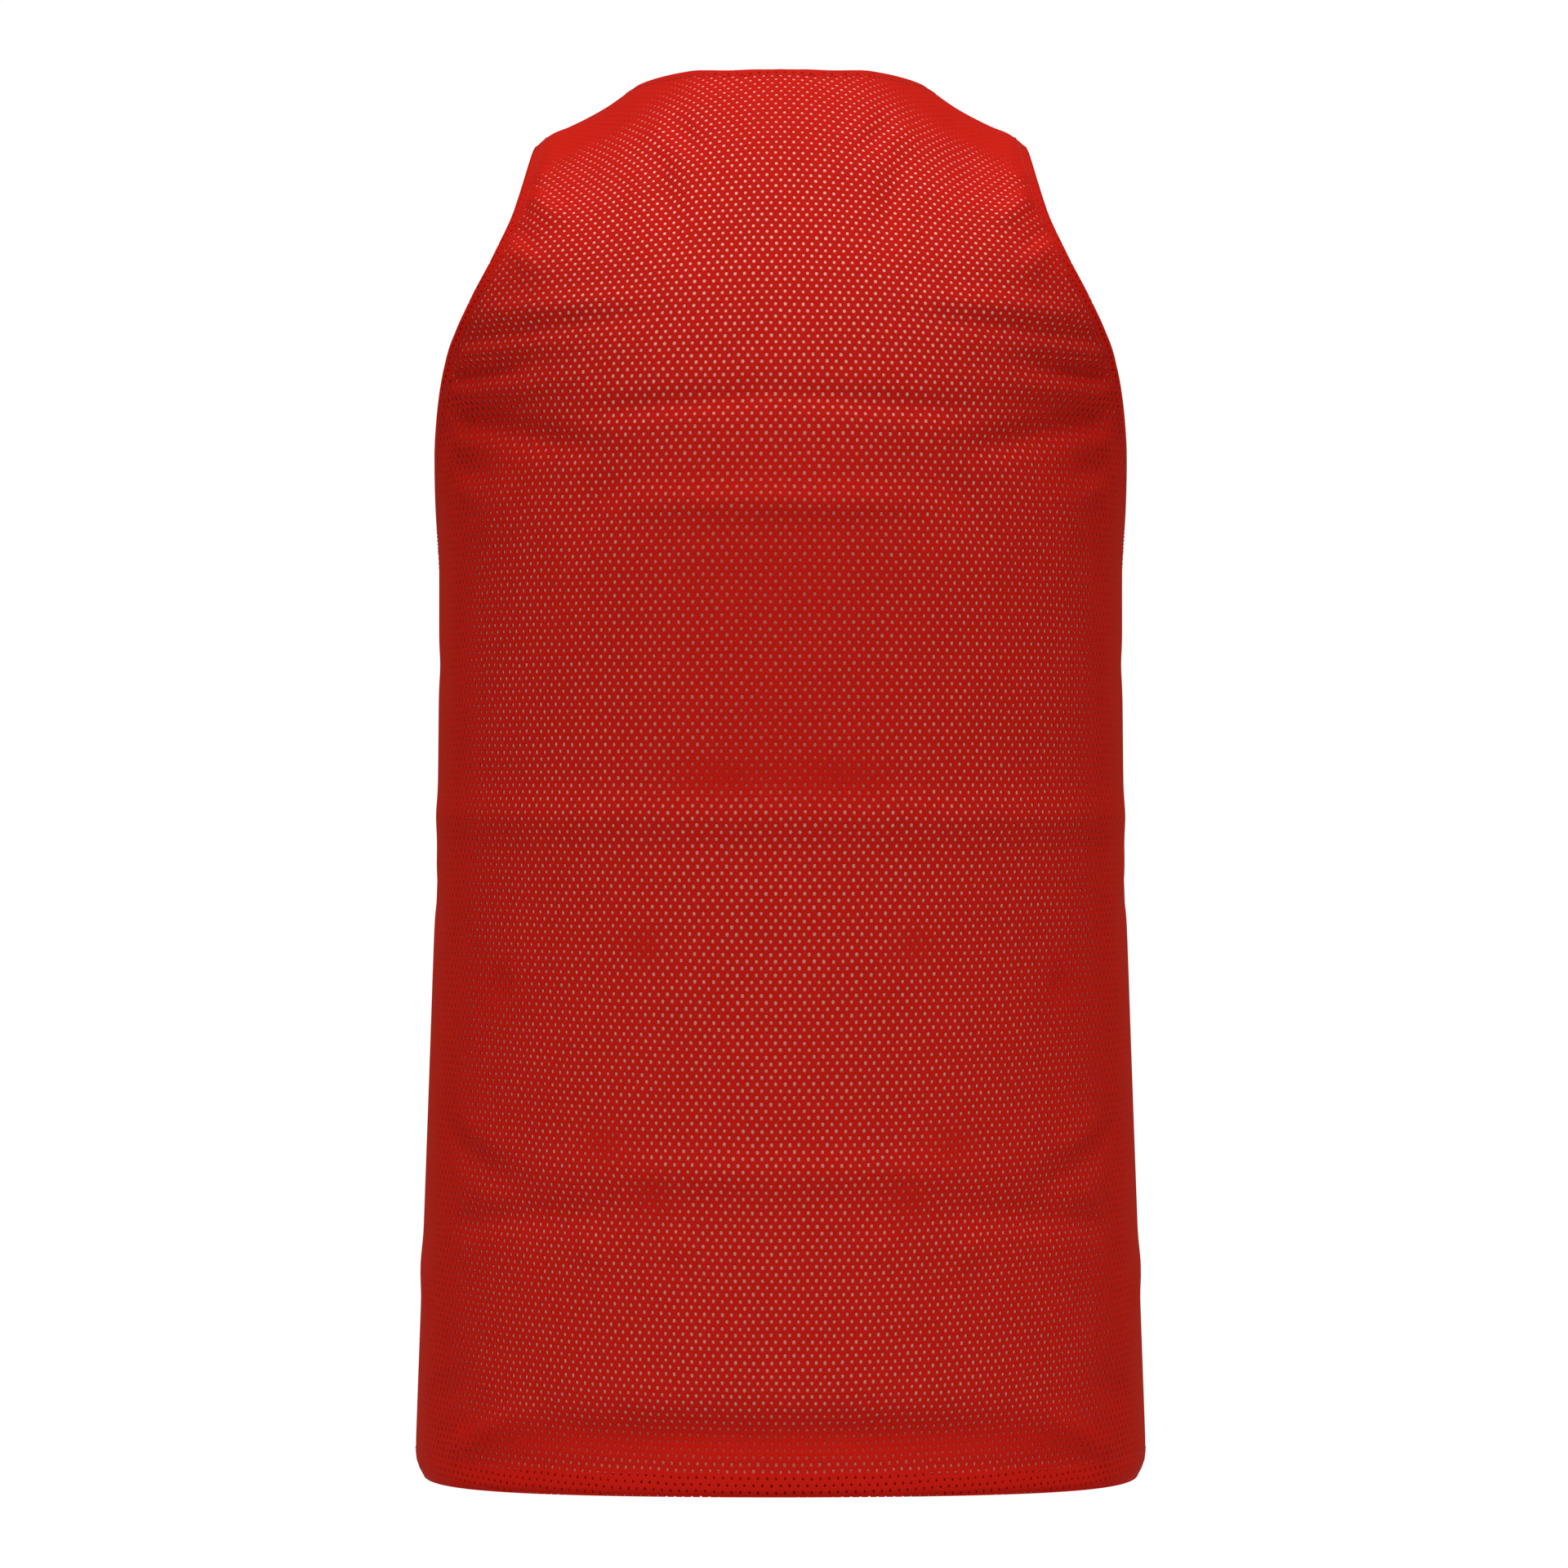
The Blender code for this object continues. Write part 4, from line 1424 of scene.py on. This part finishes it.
@dataclass
class JerseySide:
    """One side of the jersey: its outer panel, turned edges, stitches and lining."""

    side: Side
    surface: ClothSurface = field(init=False)

    def __post_init__(self) -> None:
        """Make the side's cloth surface."""
        self.surface = ClothSurface(BodyForm(self.side))

    def outer(self) -> bpy.types.Object:
        """The red panel."""
        turn, length, kept = PanelNet(self.surface, columns=84, rows=240).whole()
        points = self.surface.point(turn, length)
        name = f"{self.side.value}_outer_panel"
        shares = {"turned": self.surface.turned(turn, length)}
        grid = GridMesh(points, self.surface.cloth_map(turn, length), kept, shares)
        piece = grid.build(name, self.surface.form_normal(turn, length))
        thicken(piece, CLOTH_THICKNESS)
        dress(piece, RED_KNIT, f"{self.side.value}_outer")
        return piece

    def lining(self) -> bpy.types.Object:
        """The white panel, with its holes half a wale out of step with the red one's."""
        turn, length, kept = PanelNet(self.surface, 80, 230, -LINING_OVERLAP).whole()
        points = self.surface.point(turn, length, self.surface.gap(turn, length))
        height = self.surface.form.height_of(length)
        around = np.abs(self.surface.form.around(turn, length))
        # Painted shade on the lining's face, from 0 to 1, summed from the patches.
        apart = np.clip(sum(patch.at(around, height) for patch in PAINTED_SHADE_PATCHES), 0, 1)
        cloth_map = self.surface.cloth_map(turn, length) + HALF_WALE
        grid = GridMesh(points, cloth_map, kept, {"apart": apart})
        piece = grid.build(f"{self.side.value}_lining_panel", self.surface.form_normal(turn, length))
        dress(piece, WHITE_KNIT, f"{self.side.value}_lining")
        return piece

    def edges(self) -> list[bpy.types.Object]:
        """The turned edges, each with its stitches."""
        stitched = EDGE_TURN - STITCH_INSET
        lines = [
            ("hem", "", HemEdge(self.surface).line, HEM_TURN, HEM_TURN),
            ("neck", "", NeckEdge(self.surface).line, EDGE_TURN, stitched),
        ]
        for hand in Hand:
            line = ArmholeEdgeLine(self.surface, hand).line
            lines.append(("armhole", f"_{hand.value}", line, EDGE_TURN, stitched))
        made = []
        for edge, end, line, width, inset in lines:
            start = f"{self.side.value}_{edge}"
            fold = TurnedEdge(self.surface, line, width)
            made.append(fold.build(f"{start}_fold{end}", f"{start}_turn{end}"))
            made.append(Stitches(self.surface, line, inset).build(f"{start}_stitches{end}"))
        return made

    def build(self) -> None:
        """Make the whole side, and log each piece's faces."""
        outer, lining, edges = self.outer(), self.lining(), self.edges()
        for piece in (outer, lining, *edges):
            log.info("%s: %d faces", piece.name, len(piece.data.polygons))


@dataclass
class Studio:
    """The floor, the light and the camera."""

    floor_drop: float = 1.0
    floor_reach: float = 6.0
    floor_tones: tuple[float, float] = (0.61, 0.64)
    eye: tuple[float, float, float] = (0.0019, -3.0, -0.380)
    lens: float = 121.0
    fill: float = 0.15
    backdrop: float = 1.0
    softness: float = 60.0
    lamps: tuple[tuple[str, float, float, float], ...] = (
        ("overhead", 0.84, 80.0, 0.0),
        ("front", 0.16, 35.0, 0.0),
        ("right_side", 0.03, 10.0, 75.0),
        ("left_side", 0.03, 10.0, -75.0),
    )

    def floor(self) -> None:
        """A wide, plain, pale floor under the hanging garment."""
        z = CAD_BOX[0][2] - self.floor_drop
        reach = np.array([-self.floor_reach, self.floor_reach])
        x, y = np.meshgrid(reach, reach)
        points = np.stack([x, y, np.full_like(x, z)], axis=-1)
        mesh = bpy.data.meshes.new("floor")
        mesh.from_pydata(points.reshape(-1, 3).tolist(), [], [(0, 1, 3, 2)])
        material = bpy.data.materials.new("pale_floor")
        material.use_nodes = True
        graph = Graph(material.node_tree)
        shader = graph.tree.nodes["Principled BSDF"]
        place = graph.add("ShaderNodeTexCoord").outputs["Object"]
        tone = graph.noise(place, 3.0, 3.0)
        grey, paler = ((level, level, level, 1) for level in self.floor_tones)
        graph.feed(shader.inputs["Base Color"], graph.mix(tone, grey, paler))
        shader.inputs["Roughness"].default_value = 0.9
        mesh.materials.append(material)
        floor = bpy.data.objects.new("floor", mesh)
        bpy.context.scene.collection.objects.link(floor)

    def build(self) -> None:
        """Make it all."""
        self.floor()
        world = bpy.data.worlds.new("studio")
        world.use_nodes = True
        graph = Graph(world.node_tree)
        seen = graph.add("ShaderNodeLightPath").outputs["Is Camera Ray"]
        strength = graph.add("ShaderNodeMapRange", {0: seen, 3: self.fill, 4: self.backdrop}).outputs[0]
        background = world.node_tree.nodes["Background"].inputs
        graph.feed(background["Color"], (1, 1, 1, 1))
        graph.feed(background["Strength"], strength)
        bpy.context.scene.world = world
        for name, strength, elevation, azimuth in self.lamps:
            data = bpy.data.lights.new(name, "SUN")
            data.energy = strength * np.pi
            data.angle = np.radians(self.softness)
            lamp = bpy.data.objects.new(name, data)
            lamp.rotation_euler = (np.radians(90 - elevation), 0, np.radians(azimuth))
            bpy.context.scene.collection.objects.link(lamp)
        data = bpy.data.cameras.new("camera")
        data.sensor_width = 36.0
        data.lens = self.lens
        camera = bpy.data.objects.new("camera", data)
        camera.location = self.eye
        camera.rotation_euler = (QUARTER, 0, 0)
        bpy.context.scene.collection.objects.link(camera)
        bpy.context.scene.camera = camera
        bpy.context.scene.view_settings.view_transform = "Standard"


def main() -> None:
    """Build the studio, the finishes and the two sides."""
    logging.basicConfig(level=logging.INFO, format="%(message)s")
    Studio().build()
    for finish in (RED_KNIT, RED_SHADED_UNDERSIDE, WHITE_KNIT, RED_THREAD):
        finish.build()
    for side in Side:
        JerseySide(side).build()


if __name__ == "__main__":
    main()
